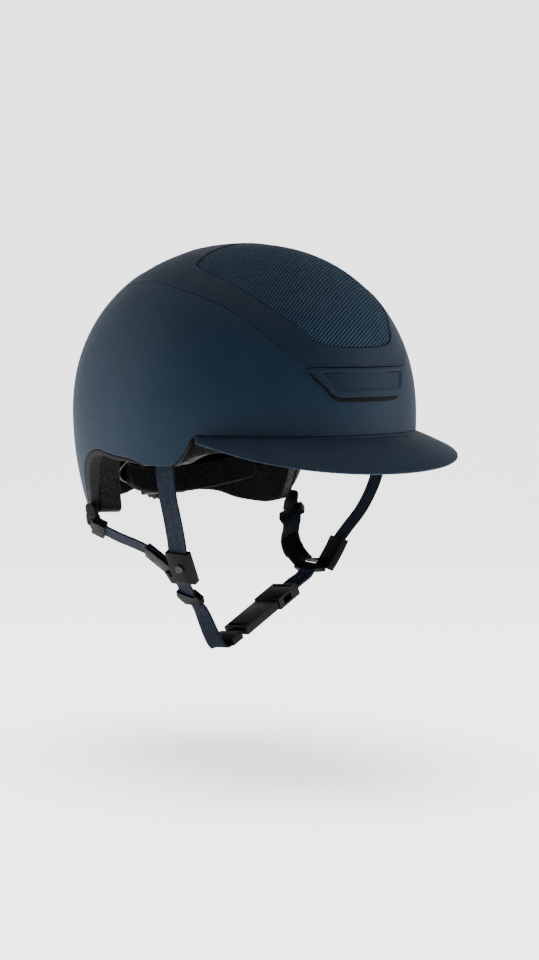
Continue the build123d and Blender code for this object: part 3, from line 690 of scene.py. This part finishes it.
def knit(name, dark, pale, pitch=1.3, spacer=3.2):
    """Warp-knit spacer mesh: small round openings in offset rows, painted darker as shade, and fine yarn
    fuzz, with sheen.
    """
    material, tree, shader = shader_of(name, Roughness=0.9, Sheen_Weight=0.04, Specular_IOR_Level=0.15,
                                       Sheen_Roughness=0.5,
                                       Sheen_Tint=(0.7, 0.75, 0.8, 1))
    where = node(tree, "TexCoord").outputs["Object"]
    cells = node(tree, "TexVoronoi",
                 {"Vector": where, "Scale": 1000 / spacer, "Randomness": 0.25}).outputs["Distance"]
    yarn = speckle(tree, pitch, 4)
    level = node(tree, "Math", {0: span(tree, cells, 0, 1, 0.15, 0.5), 1: span(tree, yarn, -0.25, 0.25)},
                 operation="ADD").outputs[0]
    # Openings painted darker as shade; the yarn noise is real fuzz.
    tree.links.new(ramp(tree, level, (0.1, dark), (0.8, pale)), shader.inputs["Base Color"])
    add_bump(tree, shader, (level, 0.35, 0.6), (speckle(tree, 0.4), 0.08, 0.6))
    return material


pad_finish = knit("pad_knit", (0.004, 0.004, 0.0045), (0.014, 0.0145, 0.016))


def quilted(points, spacing, lean=0.6):
    """Sewn diamond channels: dips 1.1 mm deep along two sets of crossing lines."""
    x, y, z = np.moveaxis(points, -1, 0)
    run = 85 * np.arctan2(x, -y)
    dips = [np.abs(((run + s * lean * z) / spacing + 0.5) % 1 - 0.5) * spacing for s in (1, -1)]
    return -1.1 * sum(np.exp(-(d / 1.0) ** 2) for d in dips)


def pad_strip(name, start, end, rows, finish):
    """Pad between two lines of map places: full-round edges, a crowned inner face and a stitch line
    pressed in 4 mm from the edge."""
    steps = np.linspace(0, 1, 16)[:, None, None]
    length = np.linalg.norm(np.diff(dome(start + (end - start) * steps, PAD_IN), axis=0), axis=2).sum(0)
    a = np.linspace(-np.pi / 2, np.pi / 2, 9)[1:-1]
    half = (PAD_IN - PAD_OUT) / 2
    roll_u = half * (1 - np.cos(a))[:, None] / length
    face_u = np.linspace(0, 1, rows)[:, None] * (1 - 2 * half / length) + half / length
    u = np.vstack([face_u, 1 - roll_u[::-1], face_u[::-1][::6], roll_u])[..., None]
    ends = np.linspace(0, 1, len(start))
    taper = np.sqrt(np.clip(1 - np.clip(1 - np.minimum(ends, 1 - ends) * len(start) / 6, 0, 1) ** 2, 0.02,
                            1))
    place = start + (end - start) * u
    middle = (PAD_OUT + PAD_IN) / 2
    points = dome(place, PAD_IN)
    across = (u[..., 0] * length)
    edge = np.minimum(across, length - across)
    crown = 0.9 * np.sqrt(np.clip(edge / 9, 0, 1)) - 1.0 * np.exp(-((edge - 4.2) / 0.7) ** 2)
    inner = half - 0.9 + crown + quilted(points, 17.0) * ease_in((edge - 5) / 2)
    back = -half * np.ones_like(inner)
    n, m, k = rows, len(roll_u), len(face_u[::6])
    depth = np.vstack([inner[:n], (half - 0.9) * -np.sin(-a[::-1])[:, None] * np.ones(len(start)),
                       back[n + m:n + m + k],
                       (half - 0.9) * np.sin(a)[:, None] * np.ones(len(start))])
    return put_mesh(name, dome(place, middle + depth * taper), True, False, finish=finish)


brow_turns = np.linspace(-66, 66, 260)
brow = pad_strip("brow_cushion", polar(brow_turns, fall_at(np.full(260, 21.5))),
                 polar(brow_turns, fall_at(np.full(260, -3.5))), 44, pad_finish)
fit(brow, "helmet", "pad_fabric", "brow_pad")


def pad_plate(name, outline, centre, nodes):
    """Pad inside an outline of map places: a crowned inner face with a pressed stitch line and sewn
    channels, a full-round edge and a plain back."""
    centre = np.asarray(centre, float)
    half = (PAD_IN - PAD_OUT) / 2
    length = np.linalg.norm(dome(outline, PAD_IN) - dome(centre, PAD_IN), axis=1)
    a = np.linspace(np.pi / 2, -np.pi / 2, 9)[1:-1]
    face = np.linspace(0.02, 1, 40)[:, None] * (1 - half / length)
    roll = 1 - half * (1 - np.cos(a))[:, None] / length
    u = np.vstack([face, roll, face[::-1][::6]])
    place = centre + (outline - centre) * u[..., None]
    edge = (1 - u) * length
    crown = 0.9 * np.sqrt(np.clip(edge / 9, 0, 1)) - 1.0 * np.exp(-((edge - 4.2) / 0.7) ** 2)
    inner = half - 0.9 + crown + quilted(dome(place, PAD_IN), 15.0) * ease_in((edge - 5) / 2)
    n, m = len(face), len(roll)
    depth = np.vstack([inner[:n], (half - 0.9) * np.sin(a)[:, None] * np.ones(len(outline)),
                       -half * np.ones_like(inner[n + m:])])
    piece = put_mesh(name, dome(place, (PAD_OUT + PAD_IN) / 2 + depth), False, True, finish=pad_finish)
    fit(piece, "helmet", "pad_fabric", nodes)
    return piece


around = np.linspace(0, 2 * np.pi, 200, endpoint=False)
oval = seen_from_above(np.stack([42 * np.sin(around), -60 * np.cos(around)], -1))
pad_plate("crown_cushion", oval, (0, 0), "crown_pad")
for side, word in ((1, "left"), (-1, "right")):
    y = 12 + 28 * np.sign(np.cos(around)) * np.abs(np.cos(around)) ** 0.5
    z = 32 + 13.5 * np.sign(np.sin(around)) * np.abs(np.sin(around)) ** 0.5
    patch = seen_from_left(np.stack([y, z], -1)) * [side, 1]
    pad_plate("temple_cushion_" + word, patch, seen_from_left([(12, 32)])[0] * [side, 1], "side_pad_" + word)

# ------------------------------------------------------------------ nape pad
# The cradle at the nape wears a ribbed pad: knit welded to thin foam in slanting ribs, with a piped
# edge and rounded corners, clipped to the fit adjuster.

RING_TILT, RING_PIVOT, RING_BACK = np.radians(-22), np.array([0, 8.0, 3.0]), 18.0


def in_ring(points):
    """From the fit ring's own flat frame to the helmet: back 18 mm, tilted 22 degrees down at the
    nape about its pivot, then to the pivot."""
    x, y, z = np.moveaxis(points, -1, 0)
    y = y + RING_BACK
    c, s = np.cos(RING_TILT), np.sin(RING_TILT)
    return np.stack([x, y * c - z * s, y * s + z * c], axis=-1) + RING_PIVOT


def nape_cushion(name, finish):
    """Pad on an arc of radius 72 to 76: the inner face is crowned and carries ribs 3.4 mm apart that
    lean over by 40 degrees; a 2 mm piping runs round it; the corners are rounded."""
    turn = np.linspace(34.5, 145.5, 420)
    arc = np.radians(turn) * 74
    room = np.minimum(arc - arc[0], arc[-1] - arc)
    half_height = 10 * np.where(room < 8, np.sqrt(np.clip(1 - (1 - room / 8) ** 2, 0.02, 1)), 1.0)
    v = np.concatenate([np.linspace(-1, 1, 40), np.linspace(1, -1, 10)[1:-1]])[:, None]
    front = (np.arange(len(v)) < 40)[:, None]
    z = -3 + v * half_height
    edge = np.minimum((1 - np.abs(v)) * half_height, room)
    ribs = 0.45 * np.cos(2 * np.pi * (arc + 0.84 * z) / 3.4) * ease_in((edge - 1.8) / 1.2)
    piping = 0.7 * np.exp(-((edge - 0.9) / 0.7) ** 2) - 0.5 * np.exp(-((edge - 2.2) / 0.5) ** 2)
    thick = np.sqrt(np.clip(edge / 1.6, 0, 1))
    r = np.where(front, 74.2 - (1.5 + ribs + piping) * thick, 74.2 + 1.9 * thick)
    angle = np.radians(turn) * np.ones_like(z)
    return put_mesh(name, in_ring(np.stack([r * np.cos(angle), r * np.sin(angle), z], -1)), True, False,
                    finish=finish)


nape_finish = knit("nape_knit", (0.0035, 0.0035, 0.004), (0.012, 0.0125, 0.0135), pitch=0.7, spacer=0.9)
nape = nape_cushion("nape_cushion", nape_finish)
fit(nape, "cradle", "nape_pad_fabric", "nape_pad")

# ------------------------------------------------------------------ harness webbing
# The harness is 16 mm navy polyester webbing, 1.6 mm thick: a herringbone ground between firm
# selvedges, box-stitched where it is turned back. Front and rear straps leave the helmet on each
# side and meet in the divider.

WEB_W, WEB_T = 16.0, 1.6
FRONT_EXIT, REAR_EXIT = np.array([100.6, -33, -13.3]), np.array([88.0, 52, -64])
FRONT_LINE = [(101.2, -33, 24), (101.2, -33, 6), (100.6, -33, -13.3), (96.5, -31, -33), (88.5, -26.5, -52),
              (80, -19.5, -67), (75.3, -15.2, -76), (71.5, -14, -84), (69, -12.6, -89)]
REAR_LINE = [(95.0, 60.0, -59.0), (88, 52, -64), (81, 44, -69), (73, 36.5, -73.5), (66.5, 29.5, -78),
             (62.5, 23, -82.5), (60.4, 17, -86)]
FRONT_ACROSS = [(0, -1, 0), (0, -1, 0), (-0.19, -0.98, 0), (-0.19, -0.98, 0)] + [(-0.28, -0.95, -0.15)] * 5
REAR_ACROSS = (0.468, -0.75, 0.468)


def unit(v):
    return v / np.linalg.norm(v, axis=-1, keepdims=True)


def strap(name, line, across, finish, width=WEB_W, thick=WEB_T, steps=150):
    """Webbing carried along a smooth line. across gives its width direction at each point, kept square
    to the run. Its section is a flat band with round selvedges, 0.2 mm fuller there, and a slight
    hollow. The cloth map is length along and distance across, in mm."""
    line = np.asarray(line, float)
    across = np.broadcast_to(np.asarray(across, float), line.shape)
    both = smooth_line(np.hstack([line, across * 12]), steps)
    run = unit(np.gradient(both[:, :3], axis=0))
    side = both[:, 3:]
    side = unit(side - run * (side * run).sum(1, keepdims=True))
    up = np.cross(run, side)
    flat = np.linspace(-1, 1, 25)
    round_off = np.linspace(np.pi / 2, -np.pi / 2, 7)[1:-1]
    half_w, half_t = width / 2 - thick / 2, thick / 2
    full = half_t * (1 + 0.12 * np.exp(-((np.abs(flat) - 1) / 0.10) ** 2) - 0.06)
    s = np.concatenate([flat * half_w, half_w + half_t * np.cos(round_off), flat[::-1] * half_w,
                        -half_w - half_t * np.cos(round_off)])
    t = np.concatenate([full, half_t * np.sin(round_off), -full, -half_t * np.sin(round_off)])
    place = both[None, :, :3] + side * s[:, None, None] + up * t[:, None, None]
    length = np.concatenate([[0], np.cumsum(np.linalg.norm(np.diff(both[:, :3], axis=0), axis=1))])
    uv = np.stack([np.broadcast_to(length, (len(s), steps)), np.broadcast_to(s[:, None], (len(s), steps))],
                  -1)
    return put_mesh(name, place, True, False, uv=uv, finish=finish)


def webbing(name):
    """Herringbone webbing on its cloth map: yarn ridges lean one way on each side of three spines,
    selvedges run lengthwise; the colour is painted lighter on the ridges as highlight and darker in the
    grooves as shade, and drifts slightly from yarn to yarn, with a satin sheen."""
    material, tree, shader = shader_of(name, Sheen_Weight=0.03, Sheen_Roughness=0.35,
                                       Sheen_Tint=(0.6, 0.7, 1.0, 1),
                                       Specular_IOR_Level=0.12)
    lie = node(tree, "SeparateXYZ", {0: node(tree, "UVMap", uv_map="cloth").outputs["UV"]})
    along, across = lie.outputs[0], lie.outputs[1]
    fold = node(tree, "Math", {0: across, 1: 3.2}, operation="PINGPONG").outputs[0]
    lean = node(tree, "Math", {0: along, 1: fold}, operation="ADD").outputs[0]
    ridge = node(tree, "Math",
                 {0: node(tree, "Math", {0: lean, 1: 2 * np.pi / 1.25}, operation="MULTIPLY").outputs[0]},
                 operation="SINE").outputs[0]
    rib = node(tree, "Math",
               {0: node(tree, "Math", {0: across, 1: 2 * np.pi / 0.8}, operation="MULTIPLY").outputs[0]},
               operation="SINE").outputs[0]
    far = node(tree, "Math", {0: across}, operation="ABSOLUTE").outputs[0]
    selvedge = span(tree, far, 0, 1, 6.2, 6.5)
    ground = node(tree, "Mix", {0: selvedge, 2: ridge, 3: rib}, data_type="FLOAT").outputs[0]
    stray = node(tree, "Math", {0: ground, 1: span(tree, speckle(tree, 2.2, 4), -0.5, 0.5)},
                 operation="ADD").outputs[0]
    level = span(tree, stray, 0, 1, -1.3, 1.3)
    # Colour follows ridge height: lighter ridge tops are painted highlight and darker grooves are painted
    # shade; the speckle adds real yarn-to-yarn drift.
    tree.links.new(ramp(tree, level, (0.1, (0.0018, 0.0032, 0.007)), (0.55, (0.0045, 0.009, 0.021)),
                        (0.95, (0.026, 0.042, 0.075))), shader.inputs["Base Color"])
    tree.links.new(span(tree, level, 0.7, 0.5, 0, 1), shader.inputs["Roughness"])
    add_bump(tree, shader, (level, 0.22, 0.7), (speckle(tree, 0.35), 0.05, 0.5))
    return material


web_finish = webbing("harness_webbing")
for side, word in ((1, "left"), (-1, "right")):
    flip = np.array([side, 1, 1])
    front = strap("front_web_" + word, FRONT_LINE * flip, FRONT_ACROSS * flip, web_finish)
    rear = strap("rear_web_" + word, REAR_LINE * flip, REAR_ACROSS * flip, web_finish)
    for piece, line, taken in ((front, FRONT_LINE[1:4], "front_strap_"),
                               (rear, REAR_LINE[:3], "rear_strap_")):
        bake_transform(piece)
        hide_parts(taken + word, "strap_roots")

# ------------------------------------------------------------------ moulded harness fittings
# Dividers, strap guides, slider, keeper and buckle are glass-filled nylon mouldings in black with a
# fine spark texture. Each is its frame part with every edge eased.


def moulded_nylon(name, dark, pale, rough=(0.42, 0.58)):
    """Spark-textured black nylon: fine pits, faint flow clouding and rubbed, shinier patches."""
    material, tree, shader = shader_of(name, Specular_IOR_Level=0.12)
    tree.links.new(ramp(tree, speckle(tree, 14, 4), (0.3, dark), (0.7, pale)), shader.inputs["Base Color"])
    tree.links.new(span(tree, speckle(tree, 5, 3), *rough), shader.inputs["Roughness"])
    add_bump(tree, shader, (speckle(tree, 4, 2), 0.05, 0.3), (speckle(tree, 0.3, 2), 0.04, 0.45))
    return material


def eased(name, part, width, finish, body, slot):
    """The frame part's shape with its loose triangles sewn up and every sharp edge rounded."""
    work = bmesh.new()
    work.from_mesh(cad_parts[part].data)
    bmesh.ops.remove_doubles(work, verts=work.verts, dist=1e-6)
    bmesh.ops.dissolve_limit(work, angle_limit=np.radians(1.0), verts=work.verts, edges=work.edges)
    mesh = bpy.data.meshes.new(name)
    work.to_mesh(mesh)
    work.free()
    mesh.materials.clear()
    mesh.materials.append(finish)
    mesh.polygons.foreach_set("use_smooth", np.ones(len(mesh.polygons), bool))
    piece = bpy.data.objects.new(name, mesh)
    bpy.context.scene.collection.objects.link(piece)
    round_off = piece.modifiers.new("eased_edges", "BEVEL")
    round_off.width, round_off.segments = width * 0.001, 3
    round_off.limit_method, round_off.angle_limit = "ANGLE", np.radians(32)
    round_off.harden_normals = True
    return fit(piece, body, slot, part)


nylon = moulded_nylon("fitting_nylon", (0.0022, 0.0022, 0.0024), (0.0042, 0.0042, 0.0045))
for word in ("left", "right"):
    eased("divider_" + word, "strap_divider_" + word, 0.7, nylon, "harness_" + word, "strap_plastic")
    eased("strap_guide_" + word, "rear_strap_guide_" + word, 0.6, nylon, "helmet", "strap_plastic")
eased("slider_plate", "strap_slider", 0.6, nylon, "slider", "strap_plastic")
eased("keeper_loop", "strap_keeper", 0.5, nylon, "keeper", "strap_plastic")
buckle_nylon = moulded_nylon("buckle_nylon", (0.006, 0.006, 0.0065), (0.0105, 0.0105, 0.011), (0.32, 0.48))
eased("buckle_body", "buckle_housing", 0.7, buckle_nylon, "harness_left", "buckle_plastic")
eased("buckle_plug", "buckle_tongue", 0.5, buckle_nylon, "harness_right", "buckle_plastic")

HANGER_MIDDLE = (93.2, 59.6, -53.5)
HANGER_HALF = (1.5, 6.2, 8.8)
HANGER_LEAN = 0.213


def hanger(word, side):
    """Tab with rounded corners that leans outwards as it rises, and joins a guide to the shell's rim."""
    turn = np.linspace(0, 2 * np.pi, 72, endpoint=False) * side
    layer = np.array([-1.0, -0.87, -0.5, 0.5, 0.87, 1.0])[:, None] * HANGER_HALF[0]
    inset = np.array([0.75, 0.22, 0.0, 0.0, 0.22, 0.75])[:, None]
    y = (HANGER_HALF[1] - inset) * np.sign(np.cos(turn)) * np.abs(np.cos(turn)) ** 0.5
    z = (HANGER_HALF[2] - inset) * np.sign(np.sin(turn)) * np.abs(np.sin(turn)) ** 0.5
    x = HANGER_MIDDLE[0] + layer + HANGER_LEAN * (z + 3.0)
    grid = np.stack([side * x, HANGER_MIDDLE[1] + y, HANGER_MIDDLE[2] + z], -1)
    fit(put_mesh("strap_hanger_" + word, grid, False, True, finish=nylon), "helmet", "strap_plastic")


hanger("right", 1)
hanger("left", -1)


# ------------------------------------------------------------------ studs and anchors
# Blackened steel rivet heads close the dividers, and steel plates hold the front straps in the shell.

dark_metal, tree, shader = shader_of("blackened_steel", Metallic=1.0)
tree.links.new(ramp(tree, speckle(tree, 5, 4), (0.3, (0.035, 0.035, 0.038)), (0.7, (0.075, 0.075, 0.08))),
               shader.inputs["Base Color"])
tree.links.new(span(tree, speckle(tree, 1.2, 3), 0.3, 0.5), shader.inputs["Roughness"])
add_bump(tree, shader, (speckle(tree, 0.8, 3), 0.03, 0.4))
eased("divider_rivet_left", "divider_stud_left", 0.4, dark_metal, "harness_left", "metal_dark")
eased("divider_rivet_right", "divider_stud_right", 0.4, dark_metal, "harness_right", "metal_dark")
eased("anchor_plates", "strap_anchors", 0.4, dark_metal, "helmet", "metal_dark")

# ------------------------------------------------------------------ chin strap
# The adjustable chin strap runs from the right divider through slider and keeper to the buckle's
# plug; the short left one is a doubled loop.

BUCKLE_AT = np.array([20.5, 1.3, -121.3])
BUCKLE_RUN = unit(np.array([0.905, 0.192, 0.380]))
BUCKLE_UP = np.array([-0.387, 0, 0.922])
BUCKLE_UP = unit(BUCKLE_UP - BUCKLE_RUN * (BUCKLE_UP @ BUCKLE_RUN))
BUCKLE_ACROSS = np.cross(BUCKLE_UP, BUCKLE_RUN)


def on_buckle(x, y=0.0, z=0.0):
    return BUCKLE_AT + BUCKLE_RUN * x + BUCKLE_ACROSS * y + BUCKLE_UP * z


plug_side = [on_buckle(-62), on_buckle(-44), on_buckle(-34)]
long_line = np.array([(-60.5, 0.6, -96.5), (-57, 1, -101.4), (-50, 3, -110), (-42, 2, -119), *plug_side])
long_across = np.array([(0, 1, 0)] * 4 + [(-0.177, 0.982, -0.074)] * 3)
chin_right = strap("chin_web_right", long_line, long_across, web_finish, steps=190)
fit(chin_right, "harness_right", "webbing_navy", "chin_strap_right")
short_line = np.array([on_buckle(21), on_buckle(28.4), (51, 4.2, -106.6), (57, 1.6, -101.4),
                       (60.6, 0.6, -94.5)])
short_across = np.array([(-0.177, 0.982, -0.074)] * 2 + [(0, 1, 0)] * 3)
chin_left = strap("chin_web_left", short_line, short_across, web_finish, thick=3.2, steps=90)
fit(chin_left, "harness_left", "webbing_navy", "chin_strap_left")

# ------------------------------------------------------------------ fit adjuster
# The nape housing, its cover, the two toothed bands, the pinion and the temple pins are black
# acetal; the dial has a soft grip; a small blackened screw holds it.

acetal = moulded_nylon("adjuster_acetal", (0.005, 0.005, 0.0055), (0.009, 0.009, 0.0095), (0.4, 0.55))
for name, part, body in (("nape_housing", "adjuster_housing", "cradle"),
                         ("nape_cover", "adjuster_cover", "cradle")):
    eased(name, part, 0.5, acetal, body, "fit_plastic")
grip, tree, shader = shader_of("dial_grip", Specular_IOR_Level=0.3)
tree.links.new(ramp(tree, speckle(tree, 8), (0.3, (0.006, 0.006, 0.0065)), (0.7, (0.011, 0.011, 0.012))),
               shader.inputs["Base Color"])
tree.links.new(span(tree, speckle(tree, 2), 0.6, 0.8), shader.inputs["Roughness"])
add_bump(tree, shader, (speckle(tree, 0.7), 0.08, 0.5))
eased("dial_knob", "adjuster_dial", 0.5, grip, "dial", "dial_rubber")
eased("knob_screw", "dial_screw", 0.2, dark_metal, "dial", "metal_dark")
for part, finish in (("rack_band_left", acetal), ("rack_band_right", acetal), ("adjuster_pinion", acetal),
                     ("vent_duct", acetal), ("temple_pins", acetal)):
    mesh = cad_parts[part].data
    mesh.materials.clear()
    mesh.materials.append(finish)

# ------------------------------------------------------------------ studio
# Plain pale sweep of paper well below the floating helmet, with a light of its own that falls on the
# paper alone, and a glow that only the camera sees. The helmet has a weak softbox overhead, a large
# one on the camera's left and one on its right. The lens is long.

CAMERA_BACK = np.array([-0.6463, -0.7594, 0.0750])
CAMERA_RIGHT = np.array([0.7615, -0.6481, 0.0])
CAMERA_UP = np.array([0.0486, 0.0571, 0.9972])
CAMERA_FAR = 1.632
FLOOR_Z = -0.232


def sweep(name):
    """Paper sweep in the camera's heading: level floor, then a quarter round of 1.2 m up to a wall."""
    across = np.linspace(-6, 6, 3)
    a = np.linspace(0, np.pi / 2, 24)
    run = np.concatenate([np.linspace(-4, 1.5, 8), 1.5 + 1.2 * np.sin(a[1:]), [2.7]])
    rise = np.concatenate([np.zeros(8), 1.2 * (1 - np.cos(a[1:])), [5.0]])
    ahead = np.array([0.6481, 0.7615, 0.0])
    grid = (ahead * run[:, None])[:, None] + CAMERA_RIGHT * across[None, :, None]
    grid[..., 2] = rise[:, None] + FLOOR_Z
    index = np.arange(grid.shape[0] * 3).reshape(-1, 3)
    quads = np.stack([index[:-1, :-1], index[:-1, 1:], index[1:, 1:], index[1:, :-1]], -1).reshape(-1, 4)
    mesh = bpy.data.meshes.new(name)
    mesh.from_pydata(grid.reshape(-1, 3).tolist(), [], quads.tolist())
    mesh.polygons.foreach_set("use_smooth", np.ones(len(mesh.polygons), bool))
    piece = bpy.data.objects.new(name, mesh)
    bpy.context.scene.collection.objects.link(piece)
    return piece


PAPER_GLOW = 1.75
PAPER_LIGHT_W, TOP_LIGHT_W, LEFT_LIGHT_W, RIGHT_LIGHT_W = 120, 14, 17, 16
paper, tree, shader = shader_of("sweep_paper", Roughness=0.95, Specular_IOR_Level=0.1,
                                Emission_Color=(1, 1, 1, 1))
seen = node(tree, "LightPath", {}).outputs["Is Camera Ray"]
tree.links.new(span(tree, seen, 0.0, PAPER_GLOW), shader.inputs["Emission Strength"])
clean = ramp(tree, speckle(tree, 900, 2), (0.3, (0.80, 0.80, 0.80)), (0.7, (0.83, 0.83, 0.83)))
tree.links.new(clean, shader.inputs["Base Color"])
backdrop = sweep("paper_sweep")
backdrop.data.materials.append(paper)

world = bpy.data.worlds.new("studio")
bpy.context.scene.world = world
world.use_nodes = True
world.node_tree.nodes["Background"].inputs["Color"].default_value = (0.93, 0.96, 1.0, 1)
world.node_tree.nodes["Background"].inputs["Strength"].default_value = 0.07


def softbox(name, place, aim, size, power, colour=(1, 1, 1)):
    """Square soft light at a place, in metres, turned to face its aim."""
    light = bpy.data.lights.new(name, "AREA")
    light.shape, light.size, light.size_y = "RECTANGLE", size[0], size[1]
    light.energy, light.color = power, colour
    lamp = bpy.data.objects.new(name, light)
    bpy.context.scene.collection.objects.link(lamp)
    lamp.location = place
    way = unit(np.array(aim, float) - np.array(place, float))
    lamp.rotation_mode = "QUATERNION"
    lamp.rotation_quaternion = Vector(way).to_track_quat("-Z", "Y")
    return lamp


side_way, back_way = CAMERA_RIGHT, np.array([-0.6481, -0.7615, 0.0])
paper_light = softbox("paper_box", (0, 0, 1.9), (0, 0, 0), (1.6, 1.6), PAPER_LIGHT_W)
lit = bpy.data.collections.new("lit_paper")
lit.objects.link(backdrop)
paper_light.light_linking.receiver_collection = lit
softbox("overhead_box", (0, 0, 1.9), (0, 0, 0), (2.4, 2.4), TOP_LIGHT_W)
softbox("left_box", tuple(-side_way * 2.0 - back_way * 0.3 + [0, 0, 0.4]), (0, 0, 0), (1.6, 2.0),
        LEFT_LIGHT_W, (0.92, 0.96, 1))
softbox("right_box", tuple(side_way * 2.0 + [0, 0, 0.5]), (0, 0, 0.03), (1.2, 1.8), RIGHT_LIGHT_W)

camera = bpy.data.cameras.new("long_lens")
camera.lens, camera.sensor_width, camera.sensor_fit = 85.0, 36.0, "AUTO"
camera.clip_start, camera.clip_end = 0.05, 30.0
eye = bpy.data.objects.new("long_lens", camera)
bpy.context.scene.collection.objects.link(eye)
eye.location = CAMERA_BACK * CAMERA_FAR + CAMERA_RIGHT * 0.0162 - CAMERA_UP * 0.0290
eye.rotation_mode = "QUATERNION"
eye.rotation_quaternion = Vector(-CAMERA_BACK).to_track_quat("-Z", "Y")
bpy.context.scene.camera = eye
